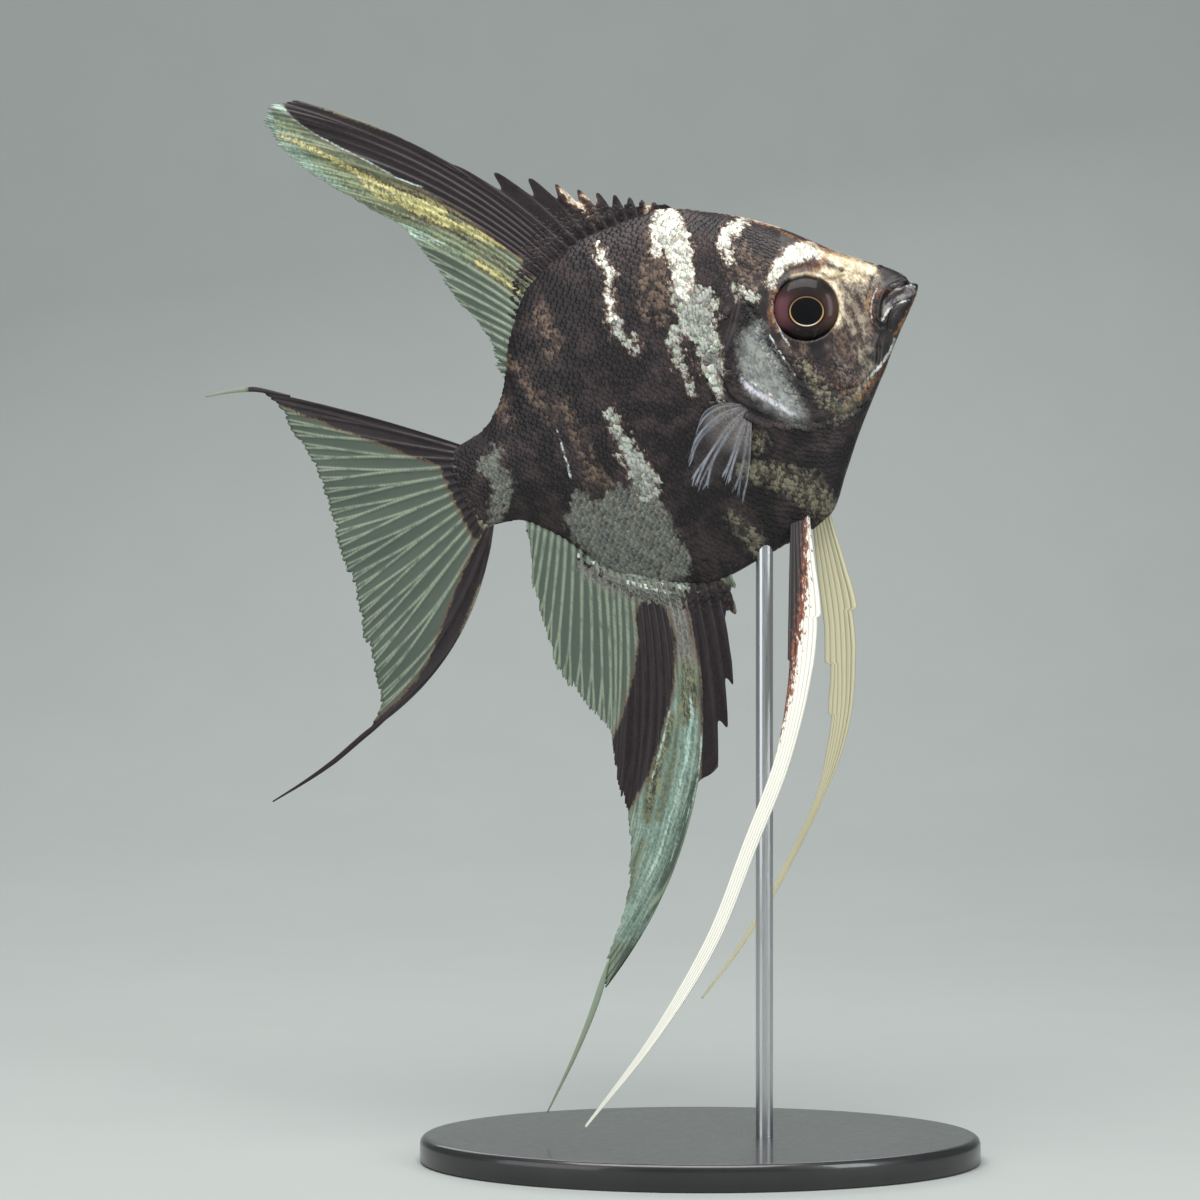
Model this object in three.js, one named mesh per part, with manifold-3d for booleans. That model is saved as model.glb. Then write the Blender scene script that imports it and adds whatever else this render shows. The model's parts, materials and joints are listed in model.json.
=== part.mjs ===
// A freshwater angelfish as a still, life-size display model: a deep, thin disc of a body
// with tall swept fins, two trailing pelvic fins, and a plain stand with one rod.
//
// Millimetres, +Z up. The fish is modelled in a frame of its own: +X towards the snout from
// the tail's root, +Z towards the back fin, +Y towards the fish's left side. One group then
// tips it nose-up and turns it a little, above the centre of the stand's underside.

import * as THREE from "three";
import { mergeVertices } from "three/addons/utils/BufferGeometryUtils.js";
import Module from "manifold-3d";

const wasm = await Module();
wasm.setup();

// ---------------------------------------------------------------- driving dimensions

const NOSE_UP = THREE.MathUtils.degToRad(23.15);
const NOSE_TURN = THREE.MathUtils.degToRad(-6); // the head comes a little towards -Y
const GAP = 0.3; // clear air between neighbouring solids

const BASE_THICK = 4;
const BASE_LONG = 84;
const BASE_DEEP = 50;
const BASE_ROUND = 1.2; // the eased top edge
const FIN_CLEARANCE = 2.2; // air between the lowest fin tip and the base
const ROD_RADIUS = 1.3;
const ROD_BITE = 4.5; // how far the rod runs up into the belly
const ROD_SOCKET = 2.6; // how far it runs down into the base
const ROD_AT = 35; // where along the fish the rod meets the belly

const BODY_STATIONS = 32;
const BODY_SIDES = 24;

// ---------------------------------------------------------------- small helpers

// A smooth function of x through a few [x, value] stations (monotone cubic Hermite).
function profile(stations) {
  const n = stations.length;
  const slope = [];
  for (let i = 0; i < n - 1; i++) {
    const [x0, v0] = stations[i];
    const [x1, v1] = stations[i + 1];
    slope.push((v1 - v0) / (x1 - x0));
  }
  const tangent = stations.map((_, i) => {
    if (i === 0) return slope[0];
    if (i === n - 1) return slope[n - 2];
    if (slope[i - 1] * slope[i] <= 0) return 0;
    return (2 * slope[i - 1] * slope[i]) / (slope[i - 1] + slope[i]);
  });
  return (x) => {
    const at = THREE.MathUtils.clamp(x, stations[0][0], stations[n - 1][0]);
    let i = 0;
    while (i < n - 2 && at > stations[i + 1][0]) i++;
    const width = stations[i + 1][0] - stations[i][0];
    const t = (at - stations[i][0]) / width;
    const a = stations[i][1] * (1 + 2 * t) * (1 - t) ** 2;
    const b = stations[i + 1][1] * t * t * (3 - 2 * t);
    const c = tangent[i] * width * t * (1 - t) ** 2;
    const d = tangent[i + 1] * width * t * t * (t - 1);
    return a + b + c + d;
  };
}

// The same for a point: stations are [parameter, x, z] or [parameter, x, y, z].
function pointProfile(stations) {
  const flat = stations[0].length === 3;
  const fx = profile(stations.map((s) => [s[0], s[1]]));
  const fy = flat ? () => 0 : profile(stations.map((s) => [s[0], s[2]]));
  const fz = profile(stations.map((s) => [s[0], s[flat ? 2 : 3]]));
  return (a) => new THREE.Vector3(fx(a), fy(a), fz(a));
}

function geometryOf(points, triangles) {
  const made = new THREE.BufferGeometry();
  made.setAttribute(
    "position",
    new THREE.Float32BufferAttribute(points.flatMap((p) => [p.x, p.y, p.z]), 3),
  );
  made.setIndex(triangles);
  return made;
}

function toSolid(geometry) {
  const bare = geometry.clone();
  bare.deleteAttribute("normal");
  bare.deleteAttribute("uv");
  const merged = mergeVertices(bare, 1e-4);
  const solid = new wasm.Manifold(
    new wasm.Mesh({
      numProp: 3,
      vertProperties: new Float32Array(merged.attributes.position.array),
      triVerts: new Uint32Array(merged.index.array),
    }),
  );
  if (solid.volume() >= 0) return solid;
  const turned = merged.index.array.slice();
  for (let i = 0; i < turned.length; i += 3) {
    [turned[i + 1], turned[i + 2]] = [turned[i + 2], turned[i + 1]];
  }
  return new wasm.Manifold(
    new wasm.Mesh({
      numProp: 3,
      vertProperties: new Float32Array(merged.attributes.position.array),
      triVerts: new Uint32Array(turned),
    }),
  );
}

function toGeometry(solid) {
  const mesh = solid.getMesh();
  const made = new THREE.BufferGeometry();
  made.setAttribute("position", new THREE.Float32BufferAttribute(mesh.vertProperties, 3));
  made.setIndex(new THREE.BufferAttribute(mesh.triVerts, 1));
  made.computeVertexNormals();
  return made;
}

// Joins rings of equal point count into a closed tube, with a fan over each end.
function loft(rings) {
  const count = rings[0].length;
  const points = rings.flat();
  const triangles = [];
  for (let r = 0; r < rings.length - 1; r++) {
    for (let i = 0; i < count; i++) {
      const a = r * count + i;
      const b = r * count + ((i + 1) % count);
      triangles.push(a, b, a + count, b, b + count, a + count);
    }
  }
  [0, rings.length - 1].forEach((r, end) => {
    const middle = new THREE.Vector3();
    rings[r].forEach((p) => middle.add(p));
    const hub = points.push(middle.divideScalar(count)) - 1;
    for (let i = 0; i < count; i++) {
      const a = r * count + i;
      const b = r * count + ((i + 1) % count);
      triangles.push(...(end ? [a, b, hub] : [b, a, hub]));
    }
  });
  return toSolid(geometryOf(points, triangles));
}

// A closed sheet with a mid-surface grid[column][row] and a half thickness for each point.
function sheet(grid, halfThick) {
  const columns = grid.length;
  const rows = grid[0].length;
  const points = [];
  for (const side of [1, -1]) {
    for (let i = 0; i < columns; i++) {
      for (let j = 0; j < rows; j++) {
        const across = grid[Math.min(i + 1, columns - 1)][j]
          .clone()
          .sub(grid[Math.max(i - 1, 0)][j]);
        const along = grid[i][Math.min(j + 1, rows - 1)]
          .clone()
          .sub(grid[i][Math.max(j - 1, 0)]);
        const normal = across.cross(along).normalize();
        points.push(grid[i][j].clone().addScaledVector(normal, side * halfThick(i, j)));
      }
    }
  }
  const at = (side, i, j) => (side * columns + i) * rows + j;
  const triangles = [];
  const quad = (a, b, c, d) => triangles.push(a, b, c, a, c, d);
  for (let i = 0; i < columns - 1; i++) {
    for (let j = 0; j < rows - 1; j++) {
      quad(at(0, i, j), at(0, i + 1, j), at(0, i + 1, j + 1), at(0, i, j + 1));
      quad(at(1, i, j), at(1, i, j + 1), at(1, i + 1, j + 1), at(1, i + 1, j));
    }
    const last = rows - 1;
    quad(at(0, i, 0), at(1, i, 0), at(1, i + 1, 0), at(0, i + 1, 0));
    quad(at(0, i, last), at(0, i + 1, last), at(1, i + 1, last), at(1, i, last));
  }
  for (let j = 0; j < rows - 1; j++) {
    const end = columns - 1;
    quad(at(0, 0, j), at(0, 0, j + 1), at(1, 0, j + 1), at(1, 0, j));
    quad(at(0, end, j), at(1, end, j), at(1, end, j + 1), at(0, end, j + 1));
  }
  return toSolid(geometryOf(points, triangles));
}

// A flat outline in the fish's side view, given thickness along Y from yLow to yHigh.
function sideBlock(points, yLow, yHigh) {
  const block = new THREE.ExtrudeGeometry(new THREE.Shape(points), {
    depth: yHigh - yLow,
    bevelEnabled: false,
  });
  block.rotateX(Math.PI / 2);
  block.translate(0, yHigh, 0);
  return toSolid(block);
}

// The thin wall along a line of side-view points that parts one piece from the next.
function partingWall(linePoints) {
  const curve = new THREE.SplineCurve(linePoints.map(([x, z]) => new THREE.Vector2(x, z)));
  const steps = linePoints.length * 2;
  const left = [];
  const right = [];
  for (let i = 0; i <= steps; i++) {
    const p = curve.getPoint(i / steps);
    const t = curve.getTangent(i / steps);
    const n = new THREE.Vector2(-t.y, t.x).multiplyScalar(GAP / 2);
    left.push(p.clone().add(n));
    right.unshift(p.clone().sub(n));
  }
  return sideBlock([...left, ...right], -20, 20);
}

// Parts a solid along a line and returns the pieces, the one nearest the snout first.
function partAlong(solid, linePoints) {
  return solid
    .subtract(partingWall(linePoints))
    .decompose()
    .filter((piece) => piece.volume() > 1)
    .sort((a, b) => b.boundingBox().max[0] - a.boundingBox().max[0]);
}

// ---------------------------------------------------------------- body

const backLine = profile([
  [-1.5, 5.8], [3, 6.5], [8, 10], [13, 18], [19, 24.2], [30, 27.3], [40, 26.6],
  [48.5, 22.6], [56.7, 16.4], [63.5, 9.3], [68, 5.6], [70.8, 2.9], [71.9, 0.9],
]);
const bellyLine = profile([
  [-1.5, -7.2], [3, -8.2], [8, -13], [13, -20.6], [19, -25.2], [28, -28.6], [36, -27.8],
  [43, -27], [46.8, -25.9], [51.3, -21.1], [55.1, -16.8], [62.2, -9.7], [66.9, -5], [70.6, -1.6],
  [71.9, 0.1],
]);
const halfWidth = profile([
  [-1.5, 0.8], [3, 1.8], [8, 2.8], [15, 4.1], [25, 5.5], [36, 6.2], [46, 6.4], [53, 5.9],
  [58, 5], [63, 3.8], [67, 2.6], [70, 1.6], [71.9, 0.9],
]);
const widestLevel = profile([
  [-1.5, -0.8], [10, -1], [30, -4], [45, -5], [56, -2], [64, 0.3], [71.9, 0.5],
]);
const edgeHalf = profile([
  [-1.5, 0.5], [10, 0.55], [32, 0.6], [42, 1], [52, 1.6], [62, 1.2], [71.9, 0.5],
]);
// how full the cross-section is: 1 is a wedge, 2 an ellipse
const roundness = profile([[0, 1.2], [35, 1.25], [50, 1.6], [62, 1.8]]);
const TAIL_END = -1.5;
const SNOUT_END = 71.9;

function bodyRing(x, grow) {
  const top = backLine(x) + grow;
  const bottom = bellyLine(x) - grow;
  const level = widestLevel(x);
  const ring = [];
  for (let i = 0; i < BODY_SIDES; i++) {
    const turn = (2 * Math.PI * (i + 0.5)) / BODY_SIDES;
    const up = Math.sin(turn);
    const side = Math.cos(turn);
    const z = level + up * (up > 0 ? top - level : level - bottom);
    const lens = (1 - up * up) ** (1 / roundness(x));
    const y = (halfWidth(x) - edgeHalf(x)) * lens + edgeHalf(x) * Math.abs(side) ** 0.35 + grow;
    ring.push(new THREE.Vector3(x, Math.sign(side) * y, z));
  }
  return ring;
}

// The whole body, or the same body standing proud by a gap, to trim what meets it.
function body(grow = 0) {
  const rings = [];
  for (let i = 0; i <= BODY_STATIONS; i++) {
    const t = i / BODY_STATIONS;
    const eased = 1 - (1 - t) ** 1.35; // closer stations at the snout
    const x = THREE.MathUtils.lerp(TAIL_END - grow, SNOUT_END + grow, eased);
    rings.push(bodyRing(x, grow));
  }
  return loft(rings);
}

// Where the body is parted, as lines in the side view: behind the gills, before the tail
// stalk, through the mouth and behind the upper lip.
const GILL_LINE = [
  [50, 34], [47, 20], [45.4, 10], [42.4, 5], [40.3, -1], [41, -6], [45, -10.6], [51, -12.9],
  [57, -13.8], [61, -17], [64, -28],
];
const STALK_LINE = [[8.6, 24], [9.4, 8], [9.6, -2], [9, -12], [7.6, -26]];
const MOUTH_LINE = [
  [76, 1.9], [70.6, 1.2], [67.8, 0.9], [65.9, -1.2], [64.6, -3.6], [62.4, -7.4], [59, -15],
];
const LIP_LINE = [[70.4, 9], [67.4, 4.2], [65.4, 1.4], [64.3, -1.6], [64.4, -3.3], [66.6, -5.2]];
const GILL_COVER = [
  [46.4, 7.4], [48.8, 2], [50, -4.4], [52.6, -9.2], [55.6, -12], [51, -11.9], [46, -9.8],
  [42.4, -6], [41.6, -1], [43.8, 4],
];

const GILL_FLOOR = 3.2; // how far from the middle plane the gill covers begin

const EYE_AT = new THREE.Vector3(55.3, 3.95, 3.3);
const EYE_RADIUS = 4.9;
const EYE_HALF_DEPTH = 2.75;

function eyeBall(side, grow) {
  const ball = new THREE.SphereGeometry(1, 14, 10);
  ball.rotateX(Math.PI / 2);
  ball.scale(EYE_RADIUS + grow, EYE_HALF_DEPTH + grow, EYE_RADIUS + grow);
  ball.translate(EYE_AT.x, side * EYE_AT.y, EYE_AT.z);
  return toSolid(ball);
}

// The block that cuts out a gill cover: its smooth outline, drawn in by `inset`, from the
// level `floor` outwards on one side.
function gillCoverBlock(side, inset, floor) {
  const loop = new THREE.CatmullRomCurve3(
    GILL_COVER.map(([x, z]) => new THREE.Vector3(x, z, 0)),
    true,
  );
  const count = 20;
  const outline = [];
  for (let i = 0; i < count; i++) {
    const p = loop.getPoint(i / count);
    const t = loop.getTangent(i / count);
    outline.push(new THREE.Vector2(p.x + inset * t.y, p.y - inset * t.x));
  }
  return side > 0 ? sideBlock(outline, floor, 12) : sideBlock(outline, -12, -floor);
}

// ---------------------------------------------------------------- fins

// A fin of rays in a web. roots(a) and tips(a) give each ray's ends for a from 0, the
// front ray, to 1, the last; bow(a) bends a ray sideways as a share of its length. The web
// between two rays has columns at the shares `between`, drawn back by the share `notch`.
function rayFin({ rays, roots, tips, bow, notch, between, steps }) {
  const grid = [];
  const isRay = [];
  for (let k = 0; k < rays; k++) {
    for (const t of k === rays - 1 ? [0] : [0, ...between]) {
      const a = (k + t) / (rays - 1);
      const start = roots(a);
      const end = tips(a);
      const line = end.clone().sub(start);
      const sideways = RIGHT.clone().cross(line).multiplyScalar(bow(a));
      const pull = start.clone().addScaledVector(line, 0.5).add(sideways);
      const path = new THREE.QuadraticBezierCurve3(start, pull, end);
      const reach = t === 0 ? 1 : 1 - notch;
      const column = [];
      for (let j = 0; j <= steps; j++) column.push(path.getPoint((reach * j) / steps));
      grid.push(column);
      isRay.push(t === 0);
    }
  }
  return sheet(grid, (i, j) =>
    THREE.MathUtils.lerp(isRay[i] ? RAY_HALF : WEB_HALF, WEB_HALF, j / steps),
  );
}

const RIGHT = new THREE.Vector3(0, -1, 0);
const WEB_HALF = 0.26;
const RAY_HALF = 0.38;

// A point just clear of the body's edge in the middle plane, to root a ray on.
function offEdge(line, x) {
  const rise = (line(x + 0.2) - line(x - 0.2)) / 0.4;
  const out = new THREE.Vector3(-rise, 0, 1).normalize();
  if (line === bellyLine) out.negate();
  return new THREE.Vector3(x, 0, line(x)).addScaledVector(out, GAP + 0.1);
}

// How far the tail fin has swung to the fish's left at a place behind the stalk.
const tailSwing = (x) => 0.0035 * Math.min(0, x - 2) ** 2;
function swing(point) {
  point.y += tailSwing(point.x);
  return point;
}

const dorsalSpines = () =>
  rayFin({
    rays: 12,
    roots: (a) => offEdge(backLine, 43 - 17.4 * a),
    tips: pointProfile([[0, 42, 27.4], [0.35, 35.8, 31.2], [0.65, 28.6, 35.8], [1, 17.6, 44.2]]),
    bow: () => -0.03,
    notch: 0.3,
    between: [0.4],
    steps: 3,
  });

const dorsalSoft = () =>
  rayFin({
    rays: 17,
    roots: (a) => offEdge(backLine, 24.7 - 15 * a),
    tips: pointProfile([
      [0, -4.8, 65.4], [0.08, -8.9, 65], [0.2, -9.9, 60.4], [0.3, -7, 55.2], [0.42, -2.6, 48.2],
      [0.54, 3.8, 39.8], [0.62, 5.4, 34.4], [0.74, 6.9, 26.8], [0.87, 9, 19.4], [1, 8.6, 12.4],
    ]),
    bow: profile([[0, -0.11], [0.3, -0.13], [0.6, -0.06], [1, 0.05]]),
    notch: 0.04,
    between: [0.5],
    steps: 7,
  });

const analSpines = () =>
  rayFin({
    rays: 7,
    roots: (a) => offEdge(bellyLine, 29.6 - 6.2 * a),
    tips: pointProfile([[0, 28.9, -31.4], [0.3, 27, -36.6], [0.66, 22.6, -45], [1, 15.6, -55]]),
    bow: () => 0.05,
    notch: 0.2,
    between: [0.4],
    steps: 4,
  });

const analSoft = () =>
  rayFin({
    rays: 18,
    roots: (a) => offEdge(bellyLine, 22.6 - 18.4 * a),
    tips: pointProfile([
      [0, -14.4, -79.2], [0.06, -11.8, -75.2], [0.16, -7.2, -70.2], [0.28, -2.6, -63.4],
      [0.38, 0.1, -56.8], [0.48, 1.4, -48.6], [0.56, 2.8, -44.2], [0.64, 1.6, -39.6],
      [0.76, -0.5, -31], [0.88, 0.4, -20.6], [1, 3.4, -11.8],
    ]),
    bow: profile([[0, 0.25], [0.2, 0.2], [0.4, 0.08], [0.6, 0.03], [1, 0]]),
    notch: 0.04,
    between: [0.5],
    steps: 7,
  });

function tailFin() {
  const tips = pointProfile([
    [0, -27, 26.8], [0.06, -25, 23.8], [0.25, -23.8, 12], [0.5, -24.6, -1.4],
    [0.75, -26.6, -15.4], [0.94, -28.6, -26.2], [1, -32, -29.4],
  ]);
  return rayFin({
    rays: 13,
    roots: (a) => new THREE.Vector3(TAIL_END - GAP, 0, 7.4 - 17 * a),
    tips: (a) => swing(tips(a)),
    bow: profile([[0, -0.03], [0.2, 0], [0.8, 0], [1, 0.13]]),
    notch: 0.03,
    between: [0.5],
    steps: 6,
  });
}

// A tapering strip along a curve of points, from share `from` to share `to` of its length.
function strip(points, from, to, steps, width, halfThick) {
  const curve = new THREE.CatmullRomCurve3(points.map(([x, y, z]) => new THREE.Vector3(x, y, z)));
  const columns = 3;
  const grid = [];
  for (let i = 0; i < columns; i++) {
    const across = i / (columns - 1) - 0.5;
    const column = [];
    for (let j = 0; j <= steps; j++) {
      const t = THREE.MathUtils.lerp(from, to, j / steps);
      const forwards = new THREE.Vector3(0, 1, 0).cross(curve.getTangentAt(t)).normalize();
      column.push(curve.getPointAt(t).addScaledVector(forwards, across * width(t)));
    }
    grid.push(column);
  }
  return sheet(grid, (i) => (i === 1 ? halfThick : WEB_HALF));
}

// The long single rays that trail from the anal fin and from the tail's two corners.
const STREAMERS = {
  anal: [[-14.8, 0, -79.7], [-16.7, 0, -81.6], [-20.7, 0, -85.6], [-28, 0, -92]],
  tail_upper: [[-27.3, 0, 26.9], [-30.2, 0, 27.9], [-34.6, 0, 29]],
  tail_lower: [[-32.5, 0, -29.6], [-37.4, 0, -31], [-42.8, 0, -32.3], [-47.4, 0, -32.6]],
};

// Pelvic fins: a spine and five rays folded into a long tapering blade. side is 1 for the
// fish's left fin and -1 for its right; width is given along the fin's length.
const PELVIC = {
  right: {
    side: -1,
    path: [
      [41.9, -2, -25.6], [37.1, -4, -38.4], [32.7, -5.2, -47], [26.2, -6.2, -56.4],
      [16.7, -7, -66.3], [6, -7.6, -77.1], [-7.6, -8.2, -87], [-22.1, -8.6, -95.2],
    ],
    width: profile([[0, 3.4], [0.14, 4.7], [0.25, 3.2], [0.36, 2.4], [0.7, 2], [0.82, 1.4], [1, 0.6]]),
  },
  left: {
    side: 1,
    path: [
      [45, 1.8, -26.2], [42.4, 4.4, -38], [39.2, 5.8, -47], [35.8, 7, -54.4],
      [30.2, 8.2, -62.2], [18.2, 9.4, -73.2], [7.6, 10, -81], [-0.8, 10.2, -86],
    ],
    width: profile([[0, 3.4], [0.16, 5], [0.32, 3.9], [0.44, 2.5], [0.56, 1.2], [0.8, 0.9], [1, 0.6]]),
  },
};

const pelvicBlade = ({ path, width }) => strip(path, 0.012, 0.5, 10, width, RAY_HALF);
const pelvicStreamer = ({ path, width }) => strip(path, 0.504, 1, 9, width, 0.34);

// Pectoral fins: a small clear fan spread outwards behind each gill cover.
function pectoralFin(side) {
  const roots = pointProfile([[0, 40.8, 7, -6.8], [1, 39, 6.9, -11.4]]);
  const tips = pointProfile([
    [0, 36.4, 14.4, -2.8], [0.25, 31, 15.6, -7.6], [0.5, 28, 14.6, -13], [0.75, 30.4, 12.4, -17.4],
    [1, 35.6, 9.6, -20.4],
  ]);
  const mirrored = (f) => (a) => {
    const p = f(a);
    p.y *= side;
    return p;
  };
  return rayFin({
    rays: 8,
    roots: mirrored(roots),
    tips: mirrored(tips),
    bow: () => 0,
    notch: 0.06,
    between: [0.5],
    steps: 3,
  });
}

// ---------------------------------------------------------------- stand

const fish = new THREE.Group();
const pose = new THREE.Euler(0, -NOSE_UP, NOSE_TURN, "ZYX");
const lowestTip = new THREE.Vector3(...PELVIC.right.path.at(-1)).applyEuler(pose);
const MASS_AT = new THREE.Vector3(36, 0, -1); // this point of the fish is over the base's middle
const massTurned = MASS_AT.clone().applyEuler(pose);
fish.setRotationFromEuler(pose);
fish.position.set(-massTurned.x, -massTurned.y, BASE_THICK + FIN_CLEARANCE - lowestTip.z);
fish.updateMatrix();
const toFish = fish.matrix.clone().invert();

const rodTop = new THREE.Vector3(ROD_AT, 0, bellyLine(ROD_AT)).applyMatrix4(fish.matrix);

function rod(grow) {
  const low = BASE_THICK - ROD_SOCKET - grow;
  const high = rodTop.z + ROD_BITE + grow;
  const bar = new THREE.CylinderGeometry(ROD_RADIUS + grow, ROD_RADIUS + grow, high - low, 20);
  bar.rotateX(Math.PI / 2);
  bar.translate(rodTop.x, rodTop.y, (low + high) / 2);
  return toSolid(bar);
}

function standBase() {
  const r = BASE_LONG / 2;
  const eased = 0.3 * BASE_ROUND;
  const edge = [
    [0, 0], [r, 0], [r, BASE_THICK - BASE_ROUND], [r - eased, BASE_THICK - eased],
    [r - BASE_ROUND, BASE_THICK], [0, BASE_THICK],
  ];
  const plate = new THREE.LatheGeometry(edge.map(([x, y]) => new THREE.Vector2(x, y)), 48);
  plate.rotateX(Math.PI / 2);
  plate.scale(1, BASE_DEEP / BASE_LONG, 1);
  return toSolid(plate);
}

// ---------------------------------------------------------------- assembly

const colours = {
  black: new THREE.MeshStandardMaterial({ color: 0x2b2426, roughness: 0.45, metalness: 0.1 }),
  silver: new THREE.MeshStandardMaterial({ color: 0x9fa59a, roughness: 0.35, metalness: 0.3 }),
  lip: new THREE.MeshStandardMaterial({ color: 0x4a4248, roughness: 0.45, metalness: 0 }),
  web: new THREE.MeshStandardMaterial({ color: 0x7f9183, roughness: 0.4, metalness: 0 }),
  streamer: new THREE.MeshStandardMaterial({ color: 0xe8e4d4, roughness: 0.35, metalness: 0 }),
  eye: new THREE.MeshStandardMaterial({ color: 0x1a1214, roughness: 0.1, metalness: 0 }),
  steel: new THREE.MeshStandardMaterial({ color: 0xb4b6b8, roughness: 0.3, metalness: 1 }),
  plinth: new THREE.MeshStandardMaterial({ color: 0x232326, roughness: 0.5, metalness: 0 }),
};

function add(group, name, solid, material) {
  const mesh = new THREE.Mesh(toGeometry(solid), material);
  mesh.name = name;
  group.add(mesh);
}

const proud = body(GAP);
const rodHole = rod(GAP).transform(toFish.elements);
const [headBlock, afterHead] = partAlong(body(), GILL_LINE);
const [trunkBlock, stalkBlock] = partAlong(afterHead, STALK_LINE);
const [jawBlock, headRest] = partAlong(headBlock, MOUTH_LINE).sort(
  (a, b) => a.volume() - b.volume(),
);
const [lipBlock, skullBlock] = partAlong(headRest, LIP_LINE).sort(
  (a, b) => a.volume() - b.volume(),
);

let skull = skullBlock;
for (const side of [1, -1]) {
  const name = side > 0 ? "left" : "right";
  const cover = skull.intersect(gillCoverBlock(side, GAP, GILL_FLOOR + GAP));
  add(fish, `gill_cover_${name}`, cover, colours.silver);
  skull = skull.subtract(gillCoverBlock(side, 0, GILL_FLOOR)).subtract(eyeBall(side, GAP));
  add(fish, `eye_${name}`, eyeBall(side, 0), colours.eye);
}
add(fish, "head", skull, colours.black);
add(fish, "jaw_upper", lipBlock, colours.lip);
add(fish, "jaw_lower", jawBlock, colours.lip);
add(fish, "trunk", trunkBlock.subtract(rodHole), colours.black);
add(fish, "tail_stalk", stalkBlock, colours.silver);
add(fish, "fin_dorsal_spines", dorsalSpines(), colours.black);
add(fish, "fin_dorsal_soft", dorsalSoft(), colours.web);
add(fish, "fin_anal_spines", analSpines(), colours.black);
add(fish, "fin_anal_soft", analSoft(), colours.web);
add(fish, "fin_tail", tailFin(), colours.web);
for (const [name, points] of Object.entries(STREAMERS)) {
  const swung = points.map(([x, y, z]) => [x, name === "anal" ? y : tailSwing(x), z]);
  const thin = profile([[0, 1.1], [1, 0.6]]);
  add(fish, `streamer_${name}`, strip(swung, 0, 1, 5, thin, 0.32), colours.web);
}
for (const [name, fin] of Object.entries(PELVIC)) {
  add(fish, `fin_pelvic_${name}`, pelvicBlade(fin).subtract(proud), colours.streamer);
  add(fish, `streamer_pelvic_${name}`, pelvicStreamer(fin), colours.streamer);
  add(fish, `fin_pectoral_${name}`, pectoralFin(fin.side).subtract(proud), colours.web);
}

const model = new THREE.Group();
model.add(fish);
add(model, "stand_base", standBase().subtract(rod(GAP)), colours.plinth);
add(model, "stand_rod", rod(0), colours.steel);

export default model;
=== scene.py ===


# %% [markdown]
# # A freshwater angelfish on a museum stand
#
# An angelfish is a thin upright disc with tall fins swept back like wings. This lesson dresses
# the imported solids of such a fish: one seamless skin over the body, a coat of small scales,
# two wet eyes, fins of bony rays in a clear web, and a plain stand. Everything sits in the
# frame of the solids, in metres, and nothing is fitted by hand afterwards.

import json
import math

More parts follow.
